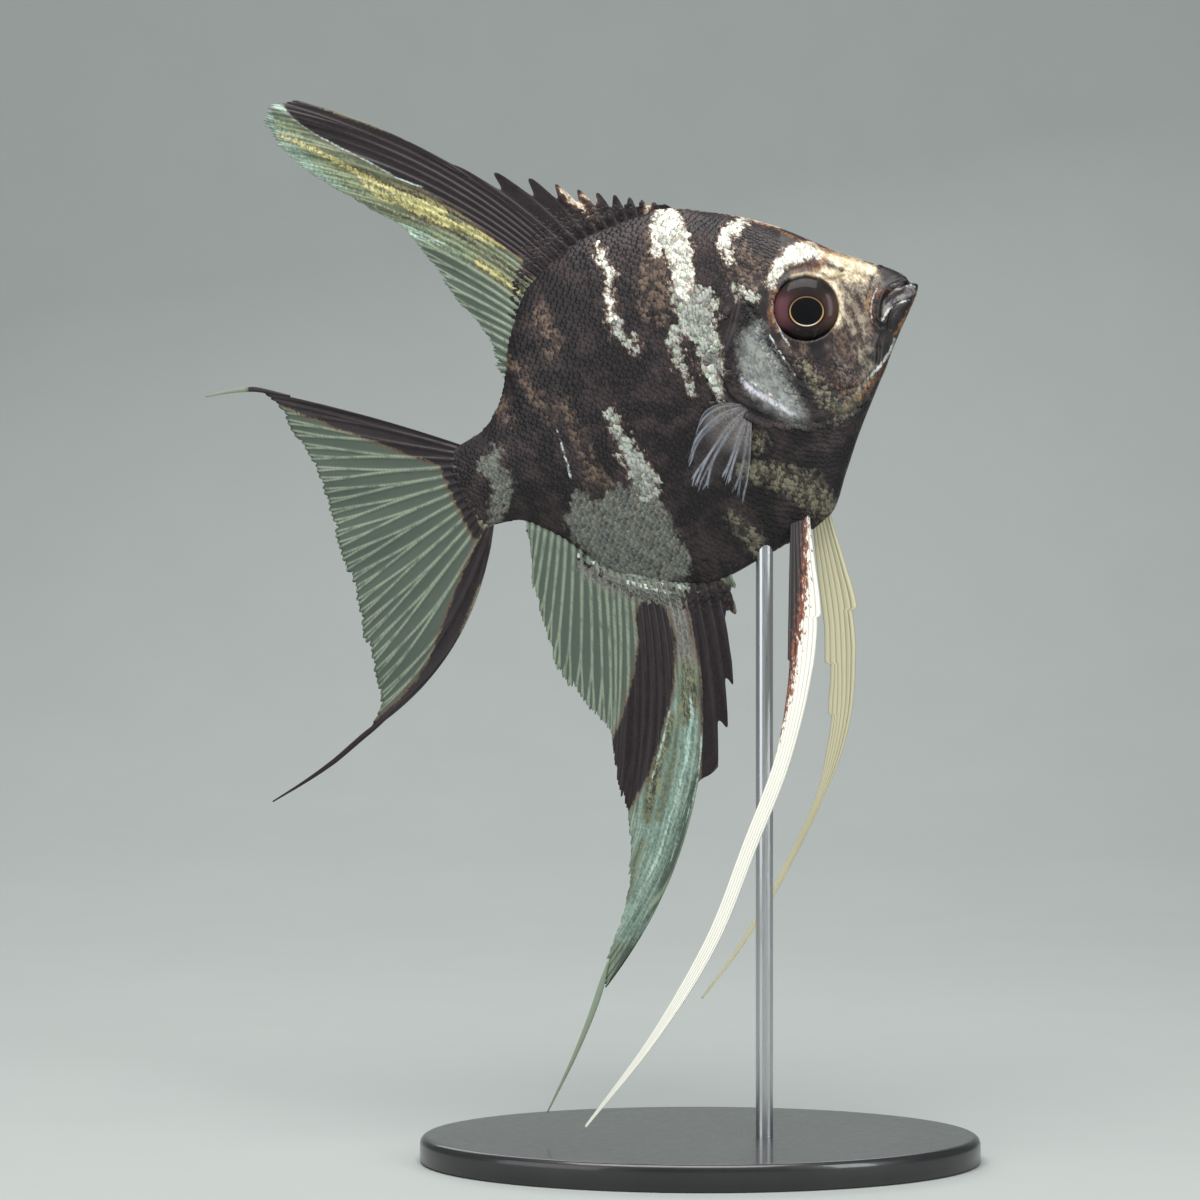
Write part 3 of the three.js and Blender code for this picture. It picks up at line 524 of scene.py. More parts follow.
# %% The marks as chains of (x, z, half width)
MARKS = {
    "brown": [
        [(63.3, 2.1, 2.1), (61.4, -0.1, 2.7), (60.6, -2.7, 2.5), (59, -4.9, 2),
         (57.5, -6.2, 1.2)],
        [(60.1, -0.8, 1.9), (58, -2.9, 1.4), (56.2, -4.4, 0.79)],
        [(56.6, -7.5, 1), (56.3, -9.1, 1.4), (56.4, -10.3, 0.79)],
        [(52.2, 6.8, 0.48), (50.9, 4.4, 0.55), (50.4, 2, 0.42)],
        [(50, 15.1, 1.1), (50.9, 13.4, 1), (51.5, 11.7, 0.61)],
        [(52.2, -2, 0.91), (51.3, -0.4, 0.67), (52.3, -5.7, 0.79), (52.8, -7.5, 0.61)],
        [(38, 18.6, 0.9), (36.7, 15.4, 1.2), (35.5, 10.8, 1)],
        [(31.6, 30.8, 0.65), (31.4, 29, 0.6)],
        [(18.6, 19.1, 1.2), (18.2, 16, 0.9), (18.3, 13.3, 0.45)],
        [(7.8, 8.4, 1), (7.7, 6.4, 0.8)],
        [(38.5, 23.3, 0.5), (36.8, 20.2, 0.5), (34.7, 17.2, 0.6), (33.3, 12.4, 0.79)],
        [(18.6, 19.1, 0.79), (18.8, 16.2, 0.89), (18.2, 12.1, 0.7)],
        [(16.6, 5.2, 0.4), (16.9, -2, 0.5), (16.5, -7.2, 0.89), (17.6, -9, 0.6)],
        [(47.5, 13.1, 0.79), (48.8, 10.9, 1.1), (48.7, 8.2, 0.89)],
        [(11, 15.2, 0.4), (12.2, 12, 0.35), (13, 7.4, 0.4), (14.2, 3.7, 0.35)],
    ],
    "tan": [
        [(61.1, 4.5, 0.48), (62.7, 3.7, 0.91), (64.5, 3.1, 1), (66.3, 3, 0.61)],
        [(61.5, 2.9, 0.91), (60.4, 1, 0.79), (60.4, -0.9, 0.55)],
        [(63.6, 1, 0.36), (62.3, -1.1, 0.42), (61.7, -3.4, 0.36), (61.5, -5.9, 0.27)],
        [(60.5, -2.3, 0.24), (60.3, -4.8, 0.27), (59.7, -7.1, 0.21)],
        [(60.5, 6.1, 0.42), (60.4, 4.3, 0.36), (59.8, 1.9, 0.36), (58.8, 0, 0.24)],
        [(60.8, -8.2, 0.3), (59.2, -9.4, 0.39), (57.9, -10.5, 0.36)],
    ],
    "olive": [
        [(60.1, -9.8, 0.36), (58.3, -11, 0.61), (56.4, -11.8, 0.91), (54.5, -12.4, 0.91),
         (52.9, -13.2, 0.67)],
        [(51.4, -4, 0.42), (52, -6.2, 0.61), (52.9, -9.5, 0.79), (54.2, -11.6, 0.73)],
        [(52.4, -7.6, 0.48), (52.9, -10.3, 0.79), (53.3, -12.2, 0.67)],
        [(37.3, -14.7, 0.9), (41.1, -17.2, 1.5), (44.8, -21, 2.1), (46.6, -25.3, 1.5)],
        [(40.9, -11.3, 0.6), (41, -13, 0.45)],
        [(33.3, -21.2, 0.75), (35.1, -26.1, 1.1)],
    ],
    "grey": [
        [(22, -11.9, 2.1), (21.3, -17.7, 3.3), (21.9, -23.8, 2.5)],
        [(13.3, -9.6, 1.4), (12.8, -13, 3.3), (14.4, -18.2, 3.6), (17.3, -22.7, 2.7)],
        [(18.4, -12.4, 2.7), (18.7, -19, 3.9)],
        [(4.3, 2.6, 0.8), (1.9, 1.2, 1.1), (3.1, -1.6, 1.4), (2.3, -3.9, 1.3), (0, -6.3, 0.8)],
        [(13, -21.4, 1.5), (16.3, -25.2, 2), (19.4, -28.4, 1.9)],
    ],
    "pearl": [
        [(47.8, 3.6, 0.61), (46.1, 1.9, 1.6), (45.3, -0.7, 2.1), (45.5, -3.7, 2.5),
         (46.2, -6.6, 2.3), (47.2, -9.3, 1.7), (48.1, -11.2, 0.85)],
        [(45.5, 2, 1.2), (46.7, -1, 1.6), (47.1, -4.6, 1.4)],
    ],
    "silver": [
        [(39.8, 13, 2.1), (40.4, 10.1, 2.8), (39.9, 7.7, 2.5), (40.1, 5, 1.6), (39.6, 2.7, 1.6),
         (39.2, 0.3, 1.1), (38.8, -2.2, 0.55), (38.4, -4.1, 0.25)],
        [(36.2, 8, 0.7), (35.3, 6.4, 1), (35.1, 3.8, 0.55), (35.1, 1.2, 0.35), (35.1, -1.3, 0.2)],
        [(28.3, 14, 0.35), (28.5, 11.5, 0.65), (29.5, 9.4, 0.5), (30.1, 7.9, 0.2)],
        [(46.8, 10.6, 0.3), (47.7, 8.9, 0.5), (49, 7.8, 0.35)],
        [(22.7, 0.6, 0.45), (22.7, -1.3, 0.6), (22.5, -3.9, 0.9), (23.1, -7.8, 1.4),
         (23.1, -11.4, 1.9)],
    ],
    "white": [
        [(51.5, 8.6, 0.36), (52.8, 9.7, 0.61), (54.5, 10.8, 1), (56.6, 11.5, 1.4),
         (58.7, 11.5, 1.3), (60, 10.5, 0.85), (60.8, 9.3, 0.42)],
        [(41.3, 23.7, 2.3), (41, 21.6, 2.6), (41.2, 19.4, 1.9), (41.2, 16.9, 1.5),
         (40.3, 14.9, 1.6), (39.8, 13, 1.2)],
        [(38.9, 21.5, 0.85), (37.8, 20.1, 0.45)],
        [(52.6, 19.5, 0.7), (50.8, 19.1, 0.8), (49.3, 18.3, 1), (48, 17.3, 0.8),
         (47.7, 15.3, 0.55), (48.1, 14.3, 0.25)],
        [(30.4, 24.6, 0.5), (30.1, 23.1, 0.55), (30.4, 21.3, 0.55), (30.5, 19.6, 0.5),
         (29.4, 17.7, 0.4), (29, 15.8, 0.3), (28.3, 14, 0.3)],
    ],
    "cream": [
        [(60.6, 10.2, 0.61), (62.2, 8.6, 0.91), (63.8, 7.1, 1.1), (65.4, 5.6, 1),
         (66.7, 4.7, 0.55)],
        [(60.1, 7.6, 0.55), (61.6, 6.1, 0.73), (63.5, 5, 0.67), (65.1, 4.1, 0.42)],
        [(55.3, 8.5, 0.12), (57.2, 8.2, 0.18), (59.1, 6.9, 0.27), (60.2, 5.3, 0.39),
         (60.5, 3.2, 0.45), (60, 1, 0.42), (58.9, -0.6, 0.27), (57.6, -1.4, 0.12)],
        [(52.7, 19.7, 0.3), (54.5, 18.4, 0.3), (56.4, 16.7, 0.2)],
    ],
    "rust": [
        [(60.8, 9.2, 0.18), (59.2, 8.8, 0.48), (57, 8.9, 0.48), (55.3, 9.1, 0.24)],
        [(62.3, 5.8, 0.21), (60.7, 5.9, 0.24), (59.6, 6.3, 0.15)],
        [(69, 1, 0.18), (66.4, 1.5, 0.27), (64.8, 0.5, 0.36), (63.9, -1.1, 0.36),
         (63.7, -3.2, 0.24)],
        [(65.9, -5.9, 0.24), (64, -7.7, 0.33), (61.8, -9.4, 0.33), (60.1, -10.3, 0.27),
         (57.5, -12.1, 0.21)],
        [(55.2, -6.7, 0.15), (55.1, -8.8, 0.21), (55.3, -10.7, 0.24), (56.5, -10.9, 0.21),
         (58.4, -9.3, 0.15)],
        [(51.5, 7.2, 0.24), (50.3, 5.3, 0.24), (49.8, 2.9, 0.24)],
    ],
    "amber": [
        [(66, 2.2, 0.11), (65.1, 1.8, 0.19), (64.4, 1.1, 0.22), (63.8, 0.3, 0.22),
         (63.3, -0.5, 0.17)],
        [(71.5, -0.7, 0.07), (70.8, -1.3, 0.12), (69.9, -2, 0.12), (68.9, -2.9, 0.12),
         (68.1, -3.8, 0.12), (67.2, -4.7, 0.12)],
        [(66, -5.1, 0.14), (66.9, -4.5, 0.14), (68.9, -2.8, 0.14)],
        [(52.2, 7.5, 0.11), (51, 5.5, 0.16), (50.3, 3.4, 0.16), (50.1, 1.5, 0.11)],
        [(51.2, 20.8, 0.23), (54.8, 17.6, 0.18), (59.1, 12.6, 0.18), (62.2, 9.6, 0.23),
         (65.1, 7.1, 0.23)],
        [(62.1, 10.6, 0.36), (59.8, 8.5, 0.32), (57.7, 7.6, 0.23)],
        [(60.2, -10, 0.14), (57.5, -11.8, 0.18), (54.9, -12.2, 0.14)],
    ],
    # lip: partly the lips' own grey, partly painted highlight on the wet lip edges
    "lip": [
        [(70.4, -0.2, 0.75), (69.6, -0.6, 0.48), (68.5, -0.5, 0.36), (67.3, -0.7, 0.39),
         (66.4, -1.2, 0.39), (65.6, -1.8, 0.36), (65.1, -2.4, 0.24)],
        [(67.7, 1.3, 0.08), (68.5, 0.9, 0.11), (69.4, 0.6, 0.11)],
        [(66.6, 0.2, 0.12), (66, -0.6, 0.15), (65.5, -1.4, 0.12)],
        [(68.3, 1.5, 0.24), (69.1, 1.3, 0.32), (69.8, 1.4, 0.24)],
    ],
    # gleam is a painted highlight: the bright crescent low on the gill cover
    "gleam": [
        [(42.5, -2.6, 0.19), (43.2, -4.6, 0.32), (44.4, -6.3, 0.39), (46, -8.4, 0.35),
         (47.3, -10.4, 0.22)],
    ],
    "line": [
        [(48.8, 1.7, 0.09), (49.3, -1.7, 0.14), (49.9, -5.2, 0.09)],
        [(51.2, 6.4, 0.07), (50.6, 3.7, 0.09), (50.5, 1.3, 0.09), (50.9, -0.8, 0.07)],
        [(66.1, 2, 0.07), (65.4, 1.5, 0.1), (64.8, 0.7, 0.11), (64.2, -0.2, 0.11),
         (63.9, -1, 0.1), (63.6, -1.8, 0.06)],
        [(69.9, -1.3, 0.06), (68.7, -1.2, 0.08), (67.6, -1.2, 0.08), (66.6, -1.5, 0.1),
         (65.7, -2, 0.08), (64.9, -2.7, 0.06)],
        # this short chain on the knob of the lower lip is a painted highlight
        [(70.2, 0.7, 0.05), (71, 0.6, 0.06), (71.4, 0, 0.05)],
        [(65.6, -5.9, 0.18), (64.3, -7.2, 0.18), (62.2, -8.6, 0.18), (59.6, -9.8, 0.14)],
        [(43.6, -3.5, 0.09), (45.1, -5.8, 0.14), (46.4, -7.8, 0.14)],
        [(8, -14.6, 0.25), (8.7, -15.7, 0.29), (9.6, -16.9, 0.22)],
        [(10.2, -17.8, 0.18), (11.7, -19.4, 0.29), (13.3, -21, 0.22)],
        [(14, -21.7, 0.18), (15.9, -22.9, 0.33), (17.7, -24.1, 0.29), (18.9, -25, 0.18)],
        [(19.5, -25.4, 0.33), (21, -26.5, 0.29), (22.5, -27.6, 0.33), (23.9, -28.6, 0.22)],
        [(14.5, -23.2, 0.22), (16.9, -24.9, 0.33), (19, -26.5, 0.29), (20.5, -27.6, 0.18)],
        [(14.2, 1.9, 0.1), (13.9, -0.6, 0.15), (13.6, -3.2, 0.15), (13.2, -6, 0.1)],
    ],
}

# %% How far inside a mark a place lies
def inside_chains(x, z, chains):
    """How far inside the nearest of some tapering chains each point is, in millimetres."""
    best = np.full(x.shape, -9.0)
    for chain in chains:
        for (x0, z0, r0), (x1, z1, r1) in zip(chain, chain[1:]):
            dx, dz = x1 - x0, z1 - z0
            t = np.clip(((x - x0) * dx + (z - z0) * dz) / (dx * dx + dz * dz), 0, 1)
            away = np.hypot(x - x0 - t * dx, z - z0 - t * dz)
            best = np.maximum(best, r0 + (r1 - r0) * t - away)
    return best


def mark_fields(points):
    """For each kind of mark, how far inside it each point of a mesh lies."""
    x, y, z = np.moveaxis(points, -1, 0)
    far_side = y > 0  # the two flanks of a real fish never match exactly
    x = x + far_side * 0.5 * np.sin(0.37 * z + 1.1)
    z = z + far_side * 0.6 * np.sin(0.29 * x + 0.4)
    return {name: inside_chains(x, z, chains) for name, chains in MARKS.items()}


print("marks:", ", ".join(f"{name} {len(chains)}" for name, chains in MARKS.items()))

# %% [markdown]
# ## Materials
#
# Every mesh carries its place in the fish's axes as an attribute named `place`, so patterns
# can be written in millimetres of fish and stay put however the model stands. The helpers
# below only shorten the writing of node trees.

# %% Writing node trees
def node(tree, kind, inputs=None, **settings):
    """Adds a node; inputs are given by name or number, as values or as sockets to join."""
    made = tree.nodes.new(kind)
    for name, value in settings.items():
        setattr(made, name, value)
    for name, value in (inputs or {}).items():
        socket = made.inputs[name]
        if isinstance(value, bpy.types.NodeSocket):
            tree.links.new(value, socket)
        elif isinstance(value, bpy.types.Node):
            tree.links.new(value.outputs[0], socket)
        else:
            socket.default_value = value
    return made


def sums(tree, operation, *values, clamp=False):
    """One step of arithmetic between numbers or sockets."""
    inputs = dict(enumerate(values))
    return node(tree, "ShaderNodeMath", inputs, operation=operation, use_clamp=clamp).outputs[0]


def attribute(tree, name, output="Fac"):
    return node(tree, "ShaderNodeAttribute", attribute_name=name).outputs[output]


def mix(tree, share, first, second, blend="MIX"):
    """A colour between two colours."""
    made = tree.nodes.new("ShaderNodeMix")
    made.data_type = "RGBA"
    made.blend_type = blend
    for socket, value in zip([made.inputs[i] for i in (0, 6, 7)], (share, first, second)):
        if isinstance(value, bpy.types.NodeSocket):
            tree.links.new(value, socket)
        elif socket.type == "RGBA":
            socket.default_value = (*value, 1)
        else:
            socket.default_value = value
    return made.outputs[2]


def noise(tree, place, scale, detail=3.0, rough=0.55, stretch=(1, 1, 1), output=0):
    """Noise with this many waves to the millimetre."""
    size = [scale * s for s in stretch]
    placed = node(tree, "ShaderNodeMapping", {"Vector": place, "Scale": size}).outputs[0]
    settings = {"Vector": placed, "Scale": 1.0, "Detail": detail, "Roughness": rough}
    return node(tree, "ShaderNodeTexNoise", settings).outputs[output]


def step(tree, value, low, high):
    """0 below low, 1 above high, smooth between."""
    settings = {"Value": value, "From Min": low, "From Max": high}
    return node(tree, "ShaderNodeMapRange", settings, interpolation_type="SMOOTHSTEP").outputs[0]


print("nodes: node, sums, attribute, mix, noise, step")

# %% Groups and materials
def new_group(name, inputs, outputs):
    """An empty shader group with (name, kind, default) inputs and (name, kind) outputs."""
    tree = bpy.data.node_groups.new(name, "ShaderNodeTree")
    kinds = {"value": "NodeSocketFloat", "colour": "NodeSocketColor", "vector": "NodeSocketVector"}
    for label, kind, default in inputs:
        made = tree.interface.new_socket(label, in_out="INPUT", socket_type=kinds[kind])
        made.default_value = default
    for label, kind in outputs:
        tree.interface.new_socket(label, in_out="OUTPUT", socket_type=kinds[kind])
    return tree, tree.nodes.new("NodeGroupInput").outputs, tree.nodes.new("NodeGroupOutput").inputs


def use_group(tree, group, inputs):
    made = tree.nodes.new("ShaderNodeGroup")
    made.node_tree = group
    for name, value in inputs.items():
        if isinstance(value, bpy.types.NodeSocket):
            tree.links.new(value, made.inputs[name])
        else:
            made.inputs[name].default_value = value
    return made.outputs


def new_material(name, **constants):
    """A material with its Principled node's plain values set, and its tree to build on."""
    material = bpy.data.materials.new(name)
    material.use_nodes = True
    shader = material.node_tree.nodes["Principled BSDF"]
    for label, value in constants.items():
        shader.inputs[label.replace("_", " ")].default_value = value
    return material, material.node_tree, shader


print("trees: new_group, use_group, new_material")

# %% [markdown]
# ### A mark with a frayed edge
#
# The edge of a mark on a live fish is not a line: whole scales fall to one side or the other,
# fine streaks run down the flank, and single platelets shine out of the black around it. The
# group shifts the distance inside the mark by streaky noise, fine noise and the tone of the
# scale, steps it to a mask, and adds a thin scatter of specks beyond the edge. A second mask
# gives the narrow fringe just outside, where the pigment thins out and looks rusty.

# %% The frayed mark group
grains, given, made = new_group(
    "grains", [("Place", "vector", (0, 0, 0))],
    [("Streak", "value"), ("Fine", "value"), ("Speck", "value")],
)
for label, grain in {
    "Streak": noise(grains, given["Place"], 0.9, 5, 0.68, (1, 1, 0.45)),
    "Fine": noise(grains, given["Place"], 3.0, 4, 0.72, (1, 1, 0.6)),
    "Speck": noise(grains, given["Place"], 2.3, 4, 0.8),
}.items():
    grains.links.new(grain, made[label])

frayed, given, made = new_group(
    "frayed_mark",
    [("Inside", "value", 0.0), ("Streak", "value", 0.5), ("Fine", "value", 0.5),
     ("Speck", "value", 0.5), ("Tone", "value", 0.5), ("Fray", "value", 0.5),
     ("Grain", "value", 0.5), ("Soft", "value", 0.2), ("Scatter", "value", 0.4)],
    [("Mask", "value"), ("Fringe", "value")],
)
streaks = sums(frayed, "SUBTRACT", given["Streak"], 0.5)
fine = sums(frayed, "SUBTRACT", given["Fine"], 0.5)
tone = sums(frayed, "SUBTRACT", given["Tone"], 0.5)
moved = sums(frayed, "MULTIPLY_ADD", streaks, sums(frayed, "MULTIPLY", given["Fray"], 5.0),
             given["Inside"])
moved = sums(frayed, "MULTIPLY_ADD", tone, given["Fray"], moved)
moved = sums(frayed, "MULTIPLY_ADD", fine, sums(frayed, "MULTIPLY", given["Grain"], 4.0), moved)
low = sums(frayed, "MULTIPLY", given["Soft"], -1.0)
core = step(frayed, moved, low, given["Soft"])
near = step(frayed, given["Inside"], -2.4, 0.0)
specks = step(frayed, given["Speck"], 0.60, 0.68)
specks = sums(frayed, "MULTIPLY", sums(frayed, "MULTIPLY", specks, near), given["Scatter"])
frayed.links.new(sums(frayed, "MAXIMUM", core, specks), made["Mask"])
frayed.links.new(step(frayed, moved, -0.75, -0.1), made["Fringe"])


def paint(tree, under, paints, grain, tone):
    """Lays frayed marks over a colour in turn; also gives back each mark's mask."""
    masks = {}
    share = sums(tree, "MULTIPLY_ADD", sums(tree, "SUBTRACT", tone, 0.5), 0.35, grain["Fine"])
    share = sums(tree, "MULTIPLY_ADD", sums(tree, "SUBTRACT", grain["Streak"], 0.5), 0.7, share)
    for name, (dark, light, strength, fray, grit, soft, scatter, fringe) in paints.items():
        out = use_group(tree, frayed, {
            "Inside": attribute(tree, name), "Streak": grain["Streak"], "Fine": grain["Fine"],
            "Speck": grain["Speck"], "Tone": tone, "Fray": fray, "Grain": grit, "Soft": soft,
            "Scatter": scatter,
        })
        masks[name] = out["Mask"]
        if fringe:
            under = mix(tree, sums(tree, "MULTIPLY", out["Fringe"], fringe), under, RUSTY)
        tint = mix(tree, step(tree, share, 0.36, 0.64), dark, light)
        under = mix(tree, sums(tree, "MULTIPLY", masks[name], strength), under, tint)
    return under, masks


print("groups:", grains.name, frayed.name)

# %% [markdown]
# ### The colours of the skin
#
# Skin and scales share one group of colours, so that the coat never shows a mark that the
# skin beneath it lacks. Each kind of mark has a dark and a light colour, and fine grain picks
# between them: pigment cells and reflecting platelets lie side by side and never blend. The
# free edge of a silver scale catches more light than its middle, so `rim` lightens it there.

# %% The fish colours group
BLACK = (0.0100, 0.0078, 0.0086)
BROWN_BLACK = (0.037, 0.0255, 0.0260)
RUSTY = (0.150, 0.070, 0.034)
PAINTS = {  # dark colour, light colour, strength, fray, grain, softness, scatter, fringe
    "brown": ((0.028, 0.019, 0.017), (0.170, 0.118, 0.086), 0.8, 0.8, 0.5, 1.0, 0.35, 0.0),
    "tan": ((0.150, 0.115, 0.088), (0.430, 0.370, 0.280), 0.8, 0.4, 0.25, 1.0, 0.1, 0.0),
    "olive": ((0.052, 0.044, 0.032), (0.220, 0.200, 0.140), 0.85, 0.8, 0.5, 1.0, 0.2, 0.0),
    "grey": ((0.070, 0.077, 0.064), (0.150, 0.163, 0.136), 0.92, 0.8, 0.4, 0.5, 0.25, 0.1),
    "pearl": ((0.120, 0.130, 0.125), (0.290, 0.305, 0.285), 0.93, 0.35, 0.1, 1.3, 0.0, 0.0),
    "silver": ((0.160, 0.170, 0.146), (0.470, 0.510, 0.448), 0.92, 0.95, 0.55, 0.45, 0.5, 0.4),
    "white": ((0.340, 0.345, 0.290), (0.920, 0.915, 0.810), 0.97, 0.7, 0.45, 0.4, 0.5, 0.65),
    "cream": ((0.500, 0.390, 0.230), (0.880, 0.790, 0.580), 0.92, 0.35, 0.15, 0.6, 0.1, 0.3),
    "rust": ((0.022, 0.011, 0.008), (0.160, 0.060, 0.028), 0.8, 0.2, 0.2, 0.3, 0.0, 0.0),
    "amber": ((0.150, 0.060, 0.024), (0.430, 0.230, 0.095), 0.6, 0.3, 0.22, 0.2, 0.0, 0.0),
    # lip is partly the lips' grey and partly painted highlight on the wet lip edges
    "lip": ((0.120, 0.110, 0.128), (0.330, 0.305, 0.275), 0.85, 0.1, 0.08, 0.16, 0.0, 0.0),
    # gleam is a painted highlight on the gill cover
    "gleam": ((0.400, 0.400, 0.480), (0.800, 0.800, 0.860), 0.8, 0.15, 0.1, 0.3, 0.0, 0.0),
    "line": ((0.280, 0.300, 0.290), (0.780, 0.830, 0.790), 0.72, 0.1, 0.08, 0.09, 0.0, 0.0),
}
SHINY = ("grey", "pearl", "silver", "white", "gleam")

colours, given, made = new_group(
    "fish_colours",
    [("Place", "vector", (0, 0, 0)), ("Tone", "value", 0.5), ("Rim", "value", 0.0)],
    [("Colour", "colour"), ("Silver", "value")],
)
place, tone, rim = given["Place"], given["Tone"], given["Rim"]
grain = use_group(colours, grains, {"Place": place})
cloud = noise(colours, place, 0.3, 4, 0.6)
painted = mix(colours, step(colours, cloud, 0.42, 0.66), BLACK, BROWN_BLACK)
glints = step(colours, noise(colours, place, 1.1, 5, 0.85), 0.66, 0.74)
painted = mix(colours, sums(colours, "MULTIPLY", glints, 0.28), painted, (0.16, 0.13, 0.11))
# On the scales every free edge is painted a little lighter and purplish, a faint painted sheen; on bare skin Rim is
# noise, so here it only varies the tone.
painted = mix(colours, sums(colours, "MULTIPLY", rim, 0.03), painted, (0.10, 0.085, 0.10))
painted, masks = paint(colours, painted, PAINTS, grain, tone)
silver = masks["grey"]
for name in SHINY[1:]:
    silver = sums(colours, "MAXIMUM", silver, masks[name])
# Over the silver, a coloured noise stands for the scales' iridescence: a painted sheen of shifting tints.
painted_iridescence = noise(colours, place, 1.6, 2, 0.6, output=1)
painted = mix(colours, sums(colours, "MULTIPLY", silver, 0.35), painted, painted_iridescence, "OVERLAY")
lit_rim = sums(colours, "MULTIPLY", sums(colours, "MULTIPLY", silver, rim), 0.17)
painted = mix(colours, lit_rim, painted, (0.85, 0.85, 0.82))
sparkle = step(colours, noise(colours, place, 4.5, 3, 0.7), 0.52, 0.36)
sparkle = sums(colours, "MULTIPLY", sums(colours, "MULTIPLY", silver, sparkle), 0.6)
sparkle = sums(colours, "MULTIPLY", sparkle, sums(colours, "SUBTRACT", 1.0, masks["pearl"]))
painted = mix(colours, sparkle, painted, (0.42, 0.38, 0.32), "MULTIPLY")
colours.links.new(painted, made["Colour"])
colours.links.new(silver, made["Silver"])
print("group:", colours.name, "with", len(PAINTS), "kinds of mark")

# %% The skin material
def skin_material(name, tone_of, rim_of, bump_height, **constants):
    material, tree, shader = new_material(name, **constants)
    place = attribute(tree, "place", "Vector")
    out = use_group(tree, colours, {"Place": place, "Tone": tone_of(tree), "Rim": rim_of(tree)})
    tree.links.new(out["Colour"], shader.inputs["Base Color"])
    tree.links.new(sums(tree, "MULTIPLY", out["Silver"], 0.3), shader.inputs["Metallic"])
    grain = noise(tree, place, 3.0, 4, 0.65)
    rough = sums(tree, "MULTIPLY_ADD", grain, 0.3, 0.34)
    rough = sums(tree, "MULTIPLY_ADD", out["Silver"], -0.08, rough)
    tree.links.new(rough, shader.inputs["Roughness"])
    bump = {"Height": grain, "Strength": 0.35, "Distance": bump_height}
    tree.links.new(node(tree, "ShaderNodeBump", bump).outputs[0], shader.inputs["Normal"])
    return material


bare_skin = skin_material(
    "wet_skin", lambda tree: noise(tree, attribute(tree, "place", "Vector"), 0.9, 1),
    lambda tree: noise(tree, attribute(tree, "place", "Vector"), 2.0, 2), 0.00008,
    Coat_Weight=0.16, Coat_Roughness=0.16, Specular_IOR_Level=0.28,
)
scaled_skin = skin_material(
    "scaled_skin", lambda tree: attribute(tree, "tone"),
    lambda tree: step(tree, attribute(tree, "rim"), 0.5, 0.95), 0.00004,
    Coat_Weight=0.12, Coat_Roughness=0.2, Specular_IOR_Level=0.25,
)
print("materials:", bare_skin.name, scaled_skin.name)

# %% Put the skin together
skin_points, skin_faces = tube_of(SKIN)
skin_place = skin_points.copy()
skin_mesh = make_mesh(
    "skin", skin_points, skin_faces, {"place": skin_place, **mark_fields(skin_place)}
)
skin = finish_piece(
    skin_mesh, bare_skin, "skin_dark",
    ["head", "trunk", "tail_stalk", "jaw_upper", "jaw_lower",
     "gill_cover_left", "gill_cover_right"],
)

# %% [markdown]
# ## The eyes
#
# A fish's eye has no lids: a clear dome stands in a bony ring, and behind it lies a nearly
# flat iris with a dark pupil, edged by a thin line of gold. Model makers cast it as one
# glass button. Here too it is one closed lens shape, turned on a lathe, with the iris painted
# on it and a clear coat for the wet shine.

# %% Turn an eye
EYE_RINGS = np.linspace(0.04, 4.76, 48)
EYE_SIDES = 96
PUPIL = 2.42
PUPIL_FLAT = 0.87
PUPIL_AT = (0.12, -0.52)  # the pupil sits a little below the middle of the iris


def eye_front(radius):
    return 4.6 + 1.5 * np.clip(1 - (radius / 4.78) ** 2.4, 0, 1) ** 0.6


def eye_points(side):
    turn = np.linspace(0, 2 * np.pi, EYE_SIDES, endpoint=False)
    radius = np.concatenate([EYE_RINGS, EYE_RINGS[::-1] * 0.985])
    depth = np.concatenate([eye_front(EYE_RINGS), 4.3 - 2.2 * np.sqrt(
        np.clip(1 - (EYE_RINGS[::-1] / 4.9) ** 2, 0, 1))])
    x = EYE_AT.x + radius[:, None] * np.cos(turn)
    z = EYE_AT.z + radius[:, None] * np.sin(turn)
    tilt = 0.07 * (EYE_AT.x - x)  # the head narrows forward, so the eye faces a little ahead
    y = side * (depth[:, None] + tilt)
    return tube_of(np.stack([x, y, z], -1))


print("an eye has", len(EYE_RINGS), "rings of", EYE_SIDES, "points in front")

# %% The eye's finish
eye_finish, tree, shader = new_material(
    "wet_eye", Roughness=0.45, Specular_IOR_Level=0.1, Coat_Weight=0.4, Coat_Roughness=0.04,
    Coat_IOR=1.33,
)
place = attribute(tree, "place", "Vector")
centred = node(tree, "ShaderNodeMapping", {
    "Vector": place, "Location": (-EYE_AT.x, 0, -EYE_AT.z)}).outputs[0]
upright = node(tree, "ShaderNodeMapping", {
    "Vector": centred, "Rotation": (0, -NOSE_UP, 0), "Scale": (1, 0, 1)}).outputs[0]
pupil = node(tree, "ShaderNodeMapping", {
    "Vector": upright, "Location": (-PUPIL_AT[0], 0, -PUPIL_AT[1] / PUPIL_FLAT),
    "Scale": (1, 0, 1 / PUPIL_FLAT)}).outputs[0]
iris_r = node(tree, "ShaderNodeVectorMath", {0: upright}, operation="LENGTH").outputs["Value"]
pupil_r = node(tree, "ShaderNodeVectorMath", {0: pupil}, operation="LENGTH").outputs["Value"]
parts = node(tree, "ShaderNodeSeparateXYZ", {0: upright}).outputs
streaks = noise(tree, place, 1.3, 4, 0.65)
iris = mix(tree, step(tree, parts["X"], -4.4, -0.5), (0.100, 0.034, 0.042), (0.030, 0.011, 0.011))
iris = mix(tree, step(tree, parts["X"], 1.5, 4.6), iris, (0.060, 0.034, 0.026))
iris = mix(tree, step(tree, parts["Z"], 0.6, 3.2), iris, (0.012, 0.010, 0.009))
iris = mix(tree, step(tree, parts["Z"], -1.8, -3.8), iris, (0.007, 0.005, 0.005))
